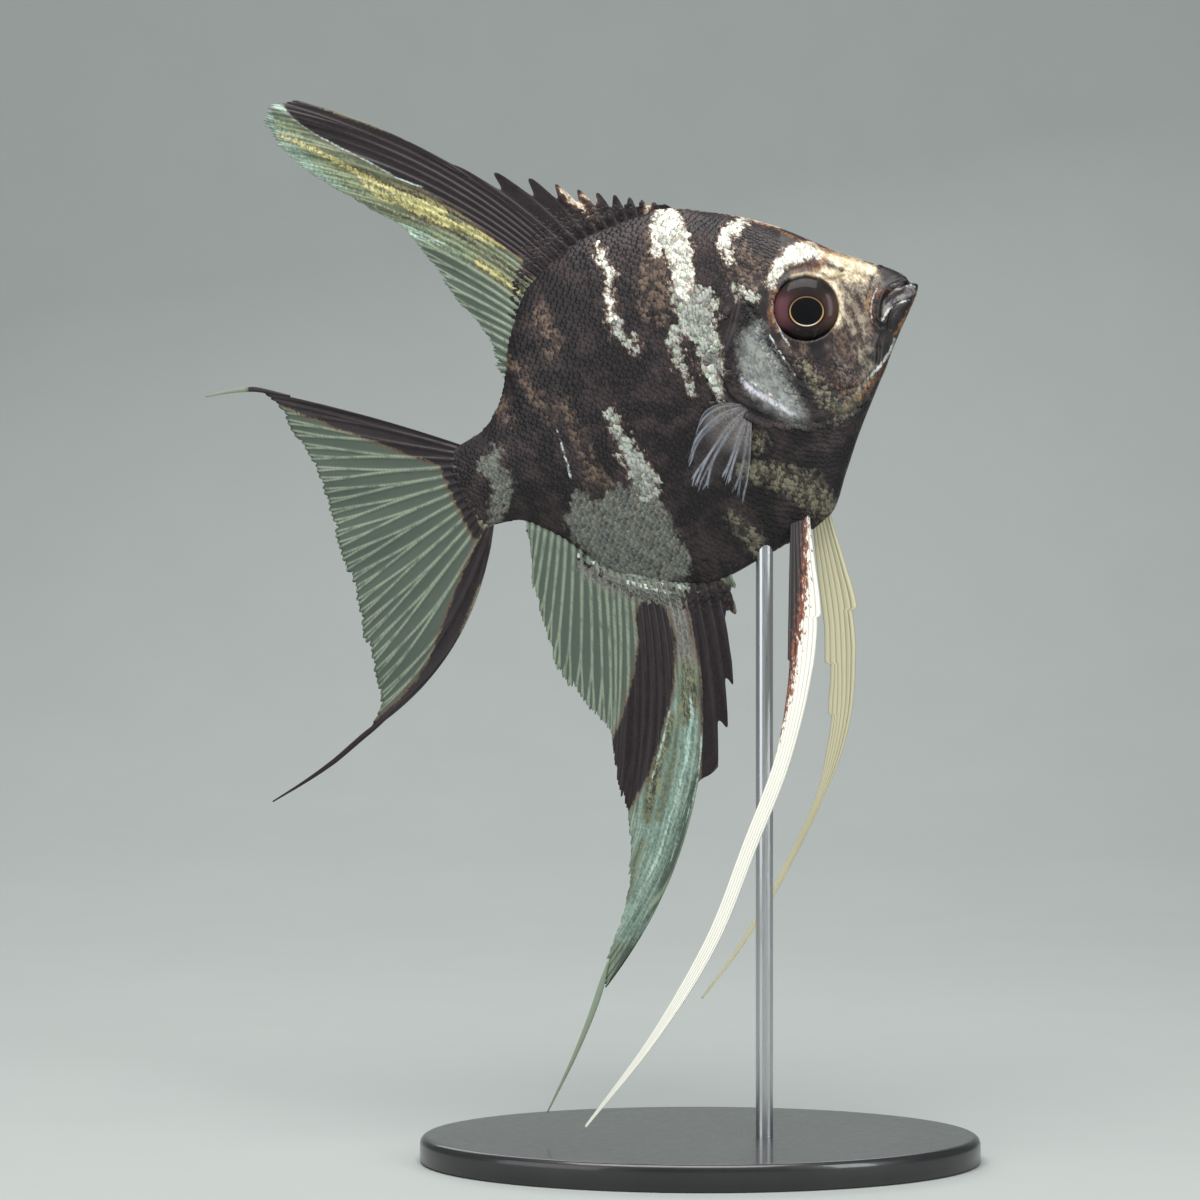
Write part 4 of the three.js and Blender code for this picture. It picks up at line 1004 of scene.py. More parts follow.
iris = mix(tree, step(tree, streaks, 0.5, 0.8), iris, (0.050, 0.026, 0.022))
iris = mix(tree, step(tree, pupil_r, 3.0, 2.6), iris, (0.010, 0.007, 0.006))
# The gold ring is painted faint at its top, and full and whiter towards its bottom: a painted highlight.
ring_highlight = sums(tree, "MULTIPLY_ADD", step(tree, parts["Z"], 1.0, -2.8), 0.75, 0.25)
ring = sums(tree, "ABSOLUTE", sums(tree, "SUBTRACT", pupil_r, PUPIL))
ring = sums(tree, "MULTIPLY", step(tree, ring, 0.17, 0.05), ring_highlight)
gold = mix(tree, step(tree, parts["Z"], -1.8, -2.7), (0.78, 0.48, 0.20), (1.0, 0.86, 0.74))
iris = mix(tree, ring, iris, gold)
colour = mix(tree, step(tree, pupil_r, PUPIL - 0.03, PUPIL - 0.11), iris, (0.003, 0.003, 0.004))
tree.links.new(colour, shader.inputs["Base Color"])
tree.links.new(sums(tree, "MULTIPLY", ring, 0.5), shader.inputs["Metallic"])

for side, side_name in ((1, "left"), (-1, "right")):
    points, faces = eye_points(side)
    mesh = make_mesh(f"eyeball_{side_name}", points, faces, {"place": points})
    finish_piece(mesh, eye_finish, "eyes", [f"eye_{side_name}"])

# %% [markdown]
# ## Fins
#
# A fin is a fan of bony rays in a web as thin as paper. The front rays are stiff spines that
# end in points; the soft rays behind them split twice on their way out, so the fin's edge is
# combed fine. All of that follows rules, so one function makes every fin: it runs a bent
# column of points along each ray and several between rays, raises a ridge over each ray and
# its branches, and draws the web back between the tips.

# %% Sets of rays
def ray_set(count, roots, tips, bow, soft, bunch=0.0):
    """The ends, bend and softness of some rays, evenly spaced on their curves or bunched."""
    a = np.linspace(0, 1, count)
    a = a - bunch * np.sin(8 * np.pi * a) / (8 * np.pi)
    return {
        "root": roots(a), "tip": tips(a), "bow": bow(a) + np.zeros(count),
        "soft": np.full(count, float(soft)),
    }


def joined(*sets):
    return {name: np.concatenate([s[name] for s in sets]) for name in sets[0]}


def between(values, k):
    """Values of neighbouring rays, blended at the fractional ray number k."""
    low = np.clip(np.floor(k).astype(int), 0, len(values) - 2)
    share = (k - low).reshape(-1, *[1] * (values.ndim - 1))
    return values[low] * (1 - share) + values[low + 1] * share


print("rays: ray_set, joined, between")

# %% One function for every fin
FORK_ONE, FORK_TWO = 0.24, 0.115  # how far a ray's branches stand off, in gaps between rays
FORKS_ONE, FORKS_TWO = (0.0, 0.8), (0.55, 1.1)  # when they part, from the fork to the tip
FILLET_REACH = 1.9  # how far up a fin its base is thickened, in millimetres
CELLS = 20  # steps of the mesh from one ray to the next


def fin_sheet(rays, cells, rows, sink, notch, web_half, ray_half, seed, ruffle=0.0, swing=None,
              bend=1.0, fillet=0.0, fork=0.66, lobe=1.0):
    """A fin's closed mesh, and where each of its points lies among the rays."""
    luck = np.random.default_rng(seed)
    count = len(rays["root"])
    k = np.linspace(0, count - 1, (count - 1) * cells + 1)
    off = k - np.round(k)
    past = k - np.floor(k + 1e-9)
    soft = between(rays["soft"], k)
    start = between(rays["root"], k)
    end = between(rays["tip"], k - past + past * soft + past**bend * (1 - soft))
    line = end - start
    length = np.linalg.norm(line, axis=1)
    pull = start + line / 2 + np.cross([0, -1, 0], line) * between(rays["bow"], k)[:, None]
    apart = np.linalg.norm(np.diff(rays["tip"], axis=0), axis=1)
    apart = apart[np.minimum(np.floor(k + 1e-9).astype(int), count - 2)]
    spiny_cut = notch[0] * apart * smooth(0, lobe, past) * (1 - smooth(0.82, 1, past))
    spiny_cut = spiny_cut + 0.25 * bump(off, 0.1)
    spiny_cut = np.minimum(spiny_cut, 0.6 * length)
    branch = np.floor((k + 0.5) * 4).astype(int)
    ragged = 0.5 * luck.uniform(0, 1, 4 * count + 8)[branch]
    ragged += 1.1 * luck.uniform(0, 1, count + 1)[np.round(k).astype(int)]
    comb = 0.5 + 0.5 * np.cos(8 * np.pi * off)
    soft_cut = notch[1] * (1.2 * off**2 + 0.35 * comb + ragged)
    reach = 1 - (spiny_cut * (1 - soft) + soft_cut * soft) / length
    along = np.linspace(0, 1, rows) ** 0.92
    out = along[None, :] * (reach + sink / length)[:, None] - (sink / length)[:, None]
    t = out[..., None]
    grid = (
        start[:, None] * (1 - t) ** 2 + 2 * pull[:, None] * t * (1 - t) + end[:, None] * t * t
    )
    wave = np.sin(k * 1.9)[:, None] * np.sin(3.1 * out + k[:, None] * 0.35)
    grid[..., 1] += ruffle * wave * smooth(0.15, 1, out)
    if swing is not None:
        grid[..., 1] += swing(grid[..., 0])
    run = unit(np.gradient(grid, axis=1))
    across = np.gradient(grid, axis=0) * cells
    across -= (across * run).sum(-1, keepdims=True) * run
    gap = np.linalg.norm(across, axis=-1)
    parted = (out - fork) / (1 - fork)
    first = FORK_ONE * smooth(*FORKS_ONE, parted) * soft[:, None]
    second = FORK_TWO * smooth(*FORKS_TWO, parted) * soft[:, None]
    from_ray = np.abs(np.abs(np.abs(off)[:, None] - first) - second) * gap
    ridge = bump(from_ray, 0.3 - 0.12 * smooth(0.5, 1, out))
    half = web_half * (1 - 0.5 * smooth(0.2, 1, out))
    half += ray_half * (1 - 0.72 * smooth(0, 1.05, out)) * ridge
    up = out * length[:, None]
    half += fillet * bump(up, FILLET_REACH) * smooth(-0.5, 0.8, up)
    half *= 1 - 0.55 * smooth(0.97, 1.0, along)[None, :]
    points, faces = sheet(grid, half)
    spread = {
        "number": np.broadcast_to(k[:, None], out.shape), "reach": out, "gap": gap,
        "soft": np.broadcast_to(soft[:, None], out.shape), "parted": parted,
    }
    marks = {name: np.tile(values.ravel(), 2) for name, values in spread.items()}
    return points, faces, {**marks, "place": points}


print("steps from ray to ray:", CELLS)

# %% Where rays are rooted
def off_edge(line, x, lift=0.3):
    """Points just outside the body's edge in the middle plane, to root rays on."""
    rise = (line(x + 0.2) - line(x - 0.2)) / 0.4
    out = unit(np.stack([-rise, np.zeros(len(x)), np.ones(len(x))], -1))
    if line is belly_line:
        out = -out
    return np.stack([x, np.zeros(len(x)), line(x)], -1) + out * lift

# %% The rays of the back fin
dorsal_rays = joined(
    ray_set(
        11, lambda a: off_edge(back_line, 42.4 - 16.6 * a),
        path((0, 42, 26.8), (0.3, 37.8, 29.9), (0.6, 31.2, 34.1), (0.8, 25.2, 38.6),
             (1, 15.8, 44.7)),
        lambda a: -0.05, soft=False,
    ),
    ray_set(
        24, lambda a: off_edge(back_line, 24.9 - 15.2 * a),
        path((0, -4.8, 65.4), (0.08, -8.9, 65), (0.2, -9.9, 60.4), (0.3, -7, 55.2),
             (0.42, -2.6, 48.2), (0.54, 3.8, 39.8), (0.62, 5.4, 34.4), (0.74, 6.9, 26.8),
             (0.87, 9, 19.4), (1, 8.6, 12.4)),
        profile((0, -0.14), (0.3, -0.13), (0.6, -0.06), (1, 0.05)), soft=True,
    ),
)
print("back fin:", len(dorsal_rays["soft"]), "rays")

# %% The rays of the belly fin
anal_rays = joined(
    ray_set(
        5, lambda a: off_edge(belly_line, 29.4 - 5.8 * a),
        path((0, 29.2, -30.4), (0.25, 28, -33.9), (0.5, 23.3, -43.5), (0.75, 20, -49.1),
             (1, 16.2, -54.3)),
        lambda a: 0.05, soft=False,
    ),
    ray_set(
        26, lambda a: off_edge(belly_line, 22.8 - 18.6 * a),
        path((0, -14.4, -79.2), (0.06, -11.8, -75.2), (0.16, -7.2, -70.2), (0.28, -2.6, -63.4),
             (0.38, 0.1, -56.8), (0.48, 1.4, -48.6), (0.56, 2.8, -44.2), (0.64, 1.6, -39.6),
             (0.76, -0.5, -31), (0.88, 0.4, -20.6), (1, 3.4, -11.8)),
        profile((0, 0.25), (0.2, 0.2), (0.4, 0.08), (0.6, 0.03), (1, 0)), soft=True,
    ),
)
print("belly fin:", len(anal_rays["soft"]), "rays")

# %% The rays of the tail
TAIL_ROOT = -1.8


def tail_swing(x):
    """How far the tail fin has swung to the fish's left."""
    return 0.0035 * np.minimum(0, x - 2) ** 2


tail_rays = ray_set(
    16, path((0, TAIL_ROOT, 7.0), (0.5, TAIL_ROOT, -1.0), (1, TAIL_ROOT, -9.2)),
    path((0, -27, 26.8), (0.06, -25, 23.8), (0.25, -23.8, 12), (0.5, -24.6, -1.4),
         (0.75, -26.6, -15.4), (0.94, -28.6, -25.8), (1, -32, -28.6)),
    profile((0, -0.03), (0.2, 0), (0.8, 0.04), (1, 0.23)), soft=True,
)
print("tail fin:", len(tail_rays["soft"]), "rays")

# %% Trailing filaments
def filament(points, widths, half, rows=60):
    """A closed tapering strand along points, with its width and half thickness on the way."""
    share = np.linspace(0, 1, len(points))
    curve = path(*[(s, *p) for s, p in zip(share, points)])
    t = np.linspace(0, 1, rows)
    middle = curve(t)
    run = unit(np.gradient(middle, axis=0))
    forward = np.cross([0, 1, 0], run)
    turn = np.linspace(0, 2 * np.pi, 14, endpoint=False)
    wide = profile(*[(s, w) for s, w in widths])(t) / 2
    rings = (
        middle[:, None] + (forward * wide[:, None])[:, None] * np.cos(turn)[None, :, None]
        + np.array([0, 1, 0]) * half * (1 - 0.6 * t)[:, None, None] * np.sin(turn)[None, :, None]
    )
    found, faces = tube_of(rings)
    ones = np.ones(len(found))
    marks = {"number": ones, "reach": ones, "gap": ones, "soft": 0 * ones, "parted": ones,
             "place": found}
    return found, faces, marks


def together(*parts):
    """Several closed meshes as one, with their attributes."""
    points, faces, start = [], [], 0
    for part_points, part_faces, _ in parts:
        points.append(part_points)
        faces.append(part_faces + start)
        start += len(part_points)
    marks = {name: np.concatenate([p[2][name] for p in parts]) for name in parts[0][2]}
    marks["place"] = np.concatenate(points)
    return np.concatenate(points), np.concatenate(faces), marks


def outward(part):
    """The same mesh with its faces turned out."""
    points, faces, marks = part
    return points, faces_out(points, faces), marks


print("strands: filament, together, outward")

# %% [markdown]
# ### How fins are coloured
#
# The web is clear, the rays are whiter, and pigment lies over both in long lobes that follow
# the rays. The marks are chains again, in the same side view, so that a band can run from the
# body out into the fin. The ray lines are drawn by the same rule that raised the ridges. The
# web lets light through, so its alpha is low where there is no pigment. This table was written
# by a separate program too.

# %% Fin marks
FIN_MARKS = {
    "gold": [
        [(-7.3, 61.8, 1.5), (-5.4, 57, 2.4), (-2.8, 52.3, 3), (0.5, 47.7, 3.6), (3.7, 43.7, 3.6),
         (7.6, 40.3, 3.5)],
        [(6.9, 41.3, 3.4), (10, 37.7, 3.3), (12.4, 34, 2.8), (14.5, 29.8, 2.3), (16.2, 26.1, 1.6),
         (17, 24.1, 0.79)],
    ],
    "teal": [
        [(-8.7, 64.4, 1.3), (-9.1, 61.6, 1.6), (-7.3, 57.9, 1.6), (-5.5, 53.8, 1.4),
         (-3, 49.4, 0.97), (-0.3, 45.1, 0.85), (3.1, 40.7, 0.79), (6.9, 37.1, 0.73)],
        [(18.3, -38.5, 1.3), (16.2, -42.3, 2), (13.7, -46.8, 2.7), (10.7, -51, 3.4)],
        [(13.4, -45, 3.3), (10.7, -49.8, 3.5), (7.5, -53.9, 3.7), (5, -57.6, 3.5),
         (2, -61.2, 3.5), (-0.9, -64.4, 3), (-3.6, -67.8, 2.5), (-6, -71.3, 2.1)],
    ],
    "smoke": [
        [(18.9, -26.4, 1.6), (19.8, -28.8, 2), (19.8, -32, 1.7), (19.1, -35.3, 1.5),
         (18.2, -38.4, 1.1)],
        [(8.9, -18.2, 0.8), (11.2, -21.2, 1.2), (14, -24, 1.4), (16.9, -26.4, 1.4)],
        [(30.9, 32.4, 0.36), (31.7, 31, 0.61), (32.7, 30.3, 0.73)],
    ],
    "speckle": [
        [(-1.9, 54.4, 0.36), (-0.3, 52, 0.45), (1.9, 50.1, 0.58), (4.9, 46.4, 0.76),
         (8.3, 42.9, 0.91), (11.5, 39.6, 0.97)],
        [(-4.5, 50.6, 0.27), (-2.2, 48.2, 0.39), (0.1, 45.9, 0.48), (2.9, 43.3, 0.55),
         (5.7, 40.6, 0.67), (10.2, 37.1, 0.79)],
        [(3.3, 50.3, 0.15), (6.2, 46.4, 0.24), (9.2, 43.3, 0.33), (12.2, 41, 0.55)],
        [(7.3, 44.5, 0.91), (10.6, 40.7, 1.1), (13.7, 37.1, 1), (15.9, 33.8, 0.85),
         (18, 30.3, 0.73), (18.9, 27.6, 0.48)],
        [(6.3, 41.5, 0.55), (9.4, 37.9, 0.67), (12, 34.8, 0.73), (14.4, 31.2, 0.79),
         (16.6, 27.6, 0.79), (17.7, 24.8, 0.55)],
        [(17.8, -38.2, 0.8), (17.4, -40.5, 1.5), (16.3, -43.1, 1.7), (14.6, -45.6, 1)],
        [(12.7, -44.6, 0.61), (10.6, -47.4, 0.83), (8.4, -49.7, 1), (6.3, -52.5, 1.1),
         (4.6, -55, 0.94), (3.4, -57.2, 0.72)],
        [(13, -46, 0.33), (10.8, -49.9, 0.39), (8.6, -52.8, 0.44), (6.4, -55.8, 0.44),
         (5, -57.6, 0.39)],
        [(1.5, -59.8, 0.33), (-0.9, -62.3, 0.36), (-2.6, -65.2, 0.33), (-4.3, -67.2, 0.25)],
        [(20.5, 26.6, 1.6), (17.6, 23.9, 1.2)],
    ],
    "yellow": [
        [(-7.9, 60.5, 0.18), (-3.9, 56.6, 0.24), (-0.5, 52.2, 0.36), (2.5, 48.4, 0.42),
         (6, 44.4, 0.42), (8.5, 41.8, 0.48), (11.1, 39.2, 0.55)],
        [(1.5, 48.5, 0.24), (3, 45.8, 0.36), (5.5, 43.1, 0.48), (8.2, 40.3, 0.48),
         (10.5, 37.8, 0.48)],
        [(6, 43.8, 0.48), (8.6, 40.7, 0.52), (10.7, 37.8, 0.58), (13.2, 35.2, 0.58),
         (15.5, 32.9, 0.45), (17.4, 30.4, 0.27)],
        [(12.7, 30.2, 0.36), (14.7, 27.1, 0.45), (16.6, 23.8, 0.39)],
    ],
    "black": [
        [(-4.5, 65.2, 0.36), (-3.8, 63.7, 1.3), (-2.2, 60.9, 1.9), (1.3, 56.8, 2.3),
         (4.5, 53.6, 2.6), (7.7, 50.1, 2.8), (10.7, 47.1, 3), (13.2, 44.6, 3.2)],
        [(8.6, 48.4, 2.8), (12.4, 44.8, 3.1), (15.6, 40.8, 3.4), (18.7, 36.4, 3.9),
         (21.9, 31.8, 4.5)],
        [(26.8, 31.4, 4.2), (34.7, 27.6, 3.6), (41.5, 25, 3), (47.9, 21.6, 1.4)],
        [(25.1, -27.7, 1.9), (25, -30.6, 3.5), (23.7, -35.2, 3.3), (22.3, -40.2, 2.8),
         (20.1, -44.8, 2.4), (17.8, -49.7, 2), (15.6, -52.7, 1.5), (14.1, -54.5, 0.58)],
        [(16, -29.2, 2.3), (15.4, -33, 2.7), (12.1, -38.9, 3.1), (9.4, -42.5, 3.2),
         (6, -46.1, 3.4), (3.4, -50, 2.7), (1.2, -54, 0.8)],
        [(1.6, 4.2, 2.6), (-3, 6.4, 2.7), (-8, 10.6, 2.4), (-14.4, 16, 1.9), (-21, 21.6, 1.3),
         (-27, 26.6, 0.9)],
        [(15.8, 45, 1.6), (21.1, 41.9, 1.8), (25.2, 38.9, 1.8), (28.8, 36, 1.5),
         (33.7, 32.8, 1.4), (39, 29, 1.2), (42.2, 27, 1)],
        [(29.5, 29.4, 2.4), (24.5, 28, 2.6), (20.5, 26.2, 1.8)],
        [(19.5, 38.6, 2.2), (24, 37, 2.6), (28.4, 34.6, 1.8)],
        [(-1.6, -8.6, 1.5), (-6.2, -12.6, 1.6), (-10.1, -16.4, 1.5), (-13.5, -20, 1.5),
         (-17.1, -23.4, 1.5), (-20.8, -25.4, 1.3), (-26, -27.4, 1), (-31.8, -28.7, 0.8)],
        [(-31.8, -28.7, 0.8), (-38.9, -30.6, 0.9), (-44.4, -31.6, 0.9), (-51, -32.4, 0.8)],
        [(-3.9, 6, 0.9), (-3.6, 2, 1.1), (-3.6, -2, 1.1), (-3.4, -7.5, 0.9)],
    ],
    "cream": [
        [(28.8, 35.3, 0.39), (29.5, 33.2, 0.48), (30.4, 31.5, 0.39), (30.7, 29.9, 0.27)],
        [(31.3, 33.1, 0.24), (32.6, 31.6, 0.27)],
        [(39.8, 27.6, 0.35), (38.9, 26.4, 0.3)],
    ],
    "pale": [
        [(-5.6, 64.2, 0.23), (-4.8, 61.8, 0.14), (-2.4, 58, 0.1), (0.4, 54.5, 0.08),
         (3.5, 50.8, 0.08), (6.4, 46.9, 0.08), (9.5, 43.9, 0.08)],
        [(-6.8, 65.3, 0.31), (-5.8, 63.7, 0.26)],
        [(-9.3, 64.8, 0.24), (-7.5, 63.3, 0.24)],
        [(-9.6, 62.8, 0.19), (-8.7, 61.9, 0.19)],
        [(-9.8, 60.2, 0.1), (-8.2, 58.2, 0.12), (-6.9, 56.4, 0.1), (-6.3, 52.6, 0.1),
         (-3.6, 47.4, 0.09), (0.3, 43.5, 0.1), (4.8, 38.4, 0.1), (9.2, 34.8, 0.1)],
        [(4.1, 39.4, 0.09), (7.6, 35.9, 0.09), (10.6, 32.3, 0.06)],
        [(16.5, -42.8, 0.17), (15.8, -45.3, 0.26), (14.1, -48.1, 0.31), (12.2, -51.3, 0.31)],
        [(14, -48.5, 0.2), (12.4, -50.8, 0.18), (10.6, -53.4, 0.17), (8.9, -55.7, 0.17),
         (6.4, -58.5, 0.15), (3.9, -61.7, 0.13), (1.8, -63.8, 0.13), (0, -65.4, 0.1)],
        [(16.1, -48.2, 0.1), (14.5, -51.5, 0.1), (12.8, -54.3, 0.11), (11.3, -56.7, 0.13),
         (9.3, -58.9, 0.13), (7.4, -60.8, 0.13), (5.8, -62.5, 0.11), (3.2, -65.3, 0.1)],
        [(12.8, -43.5, 0.08), (10.9, -46.3, 0.1), (8.8, -49, 0.1), (6.2, -52.1, 0.08)],
    ],
}

# %% How far inside a fin mark a place lies
def fin_fields(points):
    x, _, z = np.moveaxis(points, -1, 0)
    return {name: inside_chains(x, z, chains) for name, chains in FIN_MARKS.items()}


print("fin marks:", ", ".join(f"{name} {len(chains)}" for name, chains in FIN_MARKS.items()))

# %% Ray lines as a shader group
ray_lines, given, made = new_group(
    "ray_lines",
    [("Number", "value", 0.0), ("Reach", "value", 0.0), ("Gap", "value", 1.0),
     ("Soft", "value", 1.0), ("Parted", "value", 0.0)],
    [("Ray", "value"), ("Lane", "vector"), ("Joints", "value")],
)
number, reach = given["Number"], given["Reach"]
off = sums(ray_lines, "ABSOLUTE", sums(ray_lines, "SUBTRACT", number,
                                       sums(ray_lines, "ROUND", number)))
first = sums(ray_lines, "MULTIPLY", step(ray_lines, given["Parted"], *FORKS_ONE), given["Soft"])
second = sums(ray_lines, "MULTIPLY", step(ray_lines, given["Parted"], *FORKS_TWO), given["Soft"])
off = sums(ray_lines, "ABSOLUTE", sums(ray_lines, "MULTIPLY_ADD", first, -FORK_ONE, off))
off = sums(ray_lines, "ABSOLUTE", sums(ray_lines, "MULTIPLY_ADD", second, -FORK_TWO, off))
away = sums(ray_lines, "MULTIPLY", off, given["Gap"])
away = sums(ray_lines, "MULTIPLY", away, sums(ray_lines, "MULTIPLY_ADD", reach, 0.9, 1.0))
ray_lines.links.new(step(ray_lines, away, 0.50, 0.10), made["Ray"])
lane = node(ray_lines, "ShaderNodeCombineXYZ", {
    0: sums(ray_lines, "MULTIPLY", number, 1.5), 2: sums(ray_lines, "MULTIPLY", reach, 24.0)})
ray_lines.links.new(lane.outputs[0], made["Lane"])
wave = sums(ray_lines, "SINE", sums(ray_lines, "MULTIPLY", reach, 260.0))
ray_lines.links.new(step(ray_lines, wave, -0.2, 0.9), made["Joints"])
print("group:", ray_lines.name)

# %% The colours of fin marks
FIN_PAINTS = {  # dark colour, light colour, strength, fray, grain, softness, scatter, fringe
    "gold": ((0.085, 0.115, 0.062), (0.300, 0.345, 0.190), 0.75, 0.3, 0.3, 1.2, 0.0, 0.0),
    "teal": ((0.120, 0.200, 0.160), (0.340, 0.460, 0.400), 0.65, 0.5, 0.3, 1.0, 0.0, 0.0),
    "smoke": ((0.070, 0.065, 0.058), (0.220, 0.215, 0.195), 0.85, 0.5, 0.6, 0.5, 0.3, 0.0),
    "speckle": ((0.020, 0.013, 0.012), (0.190, 0.205, 0.115), 0.9, 0.6, 0.7, 0.4, 0.6, 0.0),
    "yellow": ((0.200, 0.200, 0.070), (0.600, 0.550, 0.240), 0.85, 0.3, 0.4, 0.25, 0.15, 0.3),
    "black": ((0.010, 0.007, 0.008), (0.018, 0.012, 0.013), 1.0, 0.35, 0.35, 0.2, 0.4, 0.5),
    "cream": ((0.300, 0.190, 0.120), (0.780, 0.690, 0.560), 0.90, 0.3, 0.2, 0.2, 0.2, 0.5),
    "pale": ((0.240, 0.370, 0.320), (0.480, 0.620, 0.550), 0.75, 0.12, 0.12, 0.12, 0.0, 0.0),
}
CLEARER = {"gold": 0.6, "teal": 0.4}  # marks that let some light through

# %% Fin materials
def fin_material(name, web, ray, clear, streak, ray_share=0.7, fleshy=0.0, **constants):
    """Clear web and pale rays under frayed marks; a fleshy base hides the rays' roots."""
    material, tree, shader = new_material(name, **constants)
    place, reach = attribute(tree, "place", "Vector"), attribute(tree, "reach")
    lines = use_group(tree, ray_lines, {
        "Number": attribute(tree, "number"), "Reach": reach, "Gap": attribute(tree, "gap"),
        "Soft": attribute(tree, "soft"), "Parted": attribute(tree, "parted")})
    grain = use_group(tree, grains, {"Place": lines["Lane"]})
    body_grain = use_group(tree, grains, {"Place": place})
    grain = {"Streak": grain["Streak"], "Fine": body_grain["Fine"], "Speck": body_grain["Speck"]}
    joints = sums(tree, "MULTIPLY_ADD", lines["Joints"], 0.22, 0.78)
    bright = sums(tree, "MULTIPLY", lines["Ray"], joints)
    bright = sums(tree, "MULTIPLY", bright, step(tree, grain["Streak"], 0.25, 0.6))
    base = mix(tree, bright, web, ray)
    fleck = step(tree, grain["Streak"], 0.52, 0.72)
    base = mix(tree, sums(tree, "MULTIPLY", fleck, streak), base, (0.07, 0.05, 0.04))
    flesh = sums(tree, "MULTIPLY", step(tree, reach, 0.55, 0.22), fleshy)
    mottle = step(tree, grain["Fine"], 0.42, 0.62)
    mottle = mix(tree, mottle, (0.045, 0.037, 0.035), (0.150, 0.130, 0.120))
    base = mix(tree, flesh, base, mottle)
    base, masks = paint(tree, base, FIN_PAINTS, grain, 0.5)
    vein = sums(tree, "MULTIPLY", sums(tree, "MULTIPLY", masks["black"], bright), 0.2)
    vein = sums(tree, "MULTIPLY", vein, sums(tree, "SUBTRACT", 1.0, masks["pale"]))
    base = mix(tree, vein, base, (0.060, 0.040, 0.046))
    tree.links.new(base, shader.inputs["Base Color"])
    solid = sums(tree, "MAXIMUM", sums(tree, "MULTIPLY", lines["Ray"], ray_share), flesh)
    for label, mask in masks.items():
        cover = sums(tree, "MULTIPLY", mask, CLEARER.get(label, 1.0))
        solid = sums(tree, "MAXIMUM", solid, cover)
    alpha = sums(tree, "MULTIPLY_ADD", solid, 1 - clear, clear, clamp=True)
    tree.links.new(alpha, shader.inputs["Alpha"])
    bump = {"Height": sums(tree, "ADD", bright, grain["Fine"]), "Strength": 0.35,
            "Distance": 0.00005}
    tree.links.new(node(tree, "ShaderNodeBump", bump).outputs[0], shader.inputs["Normal"])
    tree.links.new(sums(tree, "MULTIPLY_ADD", grain["Fine"], 0.3, 0.28), shader.inputs["Roughness"])
    return material


web_finish = fin_material(
    "clear_fin", (0.070, 0.095, 0.072), (0.27, 0.33, 0.24), 0.8, 0.4, Coat_Weight=0.1,
    Coat_Roughness=0.2, Specular_IOR_Level=0.25,
)
pectoral_finish = fin_material(
    "glassy_fin", (0.09, 0.085, 0.085), (0.30, 0.34, 0.40), 0.05, 0.3, ray_share=0.34, fleshy=0.75,
    Coat_Weight=0.05, Coat_Roughness=0.15, Specular_IOR_Level=0.3,
)


def fin_piece(name, part, finish, slot, stands_for):
    points, faces, marks = part
    mesh = make_mesh(name, points, faces, {**marks, **fin_fields(points)})
    return finish_piece(mesh, finish, slot, stands_for)


print("fin materials:", web_finish.name, pectoral_finish.name)

# %% Make the upright fins
dorsal = fin_sheet(dorsal_rays, CELLS, rows=60, sink=2.2, notch=(1.05, 1.2), web_half=0.09,
                   ray_half=0.17, seed=3, ruffle=0.25, fillet=0.22, lobe=0.85)
fin_piece("fin_back", dorsal, web_finish, "fin_web", ["fin_dorsal_spines", "fin_dorsal_soft"])

anal = fin_sheet(anal_rays, CELLS, rows=64, sink=2.2, notch=(0.95, 1.2), web_half=0.09,
                 ray_half=0.17, seed=5, ruffle=0.25, bend=1.3, fillet=0.22)
anal_strand = filament(
    [(-10.5, 0, -74.6), (-14.8, 0, -79.7), (-20.7, 0, -85.6), (-28, 0, -92)],
    [(0, 0.3), (0.25, 0.95), (1, 0.25)], 0.2,
)
fin_piece("fin_belly", together(outward(anal), outward(anal_strand)), web_finish, "fin_web",
          ["fin_anal_spines", "fin_anal_soft", "streamer_anal"])

tail = fin_sheet(tail_rays, cells=24, rows=44, sink=2.4, notch=(1.0, 0.8), web_half=0.08,
                 ray_half=0.17, seed=7, ruffle=0.3, swing=tail_swing, fillet=0.3,
                 fork=0.3)
tail_upper = filament(
    [(x, tail_swing(x), z) for x, z in ((-22, 23.4), (-27.3, 26.9), (-30.2, 27.9), (-34.6, 29))],
    [(0, 0.3), (0.3, 0.8), (1, 0.25)], 0.2,
)
tail_lower = filament(
    [(x, tail_swing(x), z) for x, z in ((-27.6, -27.6), (-31.8, -28.6), (-38.9, -30.6),
                                        (-44.4, -31.6), (-50.6, -32.4))],
    [(0, 0.3), (0.25, 0.9), (1, 0.25)], 0.2,
)
fin_piece("tail_fan", together(outward(tail), outward(tail_upper), outward(tail_lower)),
          web_finish, "fin_web", ["fin_tail", "streamer_tail_upper", "streamer_tail_lower"])

# %% Make the breast fins
for side, side_name in ((1, "left"), (-1, "right")):
    mirror = np.array([1, side, 1])
    root_curve = path((0, 40.7, 6.0, -5.8), (1, 41.4, 6.0, -8.8))
    tip_curve = path((0, 33.2, 9.0, -8.8), (0.2, 30.6, 11.2, -12.0), (0.4, 28.4, 12.5, -14.7),
                     (0.6, 31.6, 12.5, -17.0), (0.8, 33.6, 11.8, -18.2), (1, 34.9, 11.0, -21.0))
    rays = ray_set(10, lambda a: root_curve(a) * mirror, lambda a: tip_curve(a) * mirror,
                   profile((0, -0.65), (0.3, -0.32), (0.6, -0.05), (1, 0.06)), soft=True,
                   bunch=0.9)
    part = fin_sheet(rays, cells=18, rows=48, sink=1.2, notch=(1.0, 2.6), web_half=0.04,
                     ray_half=0.1, seed=11, ruffle=0.7, fork=0.55)
    fin_piece(f"breast_fin_{side_name}", part, pectoral_finish, "fin_web",
              [f"fin_pectoral_{side_name}"])

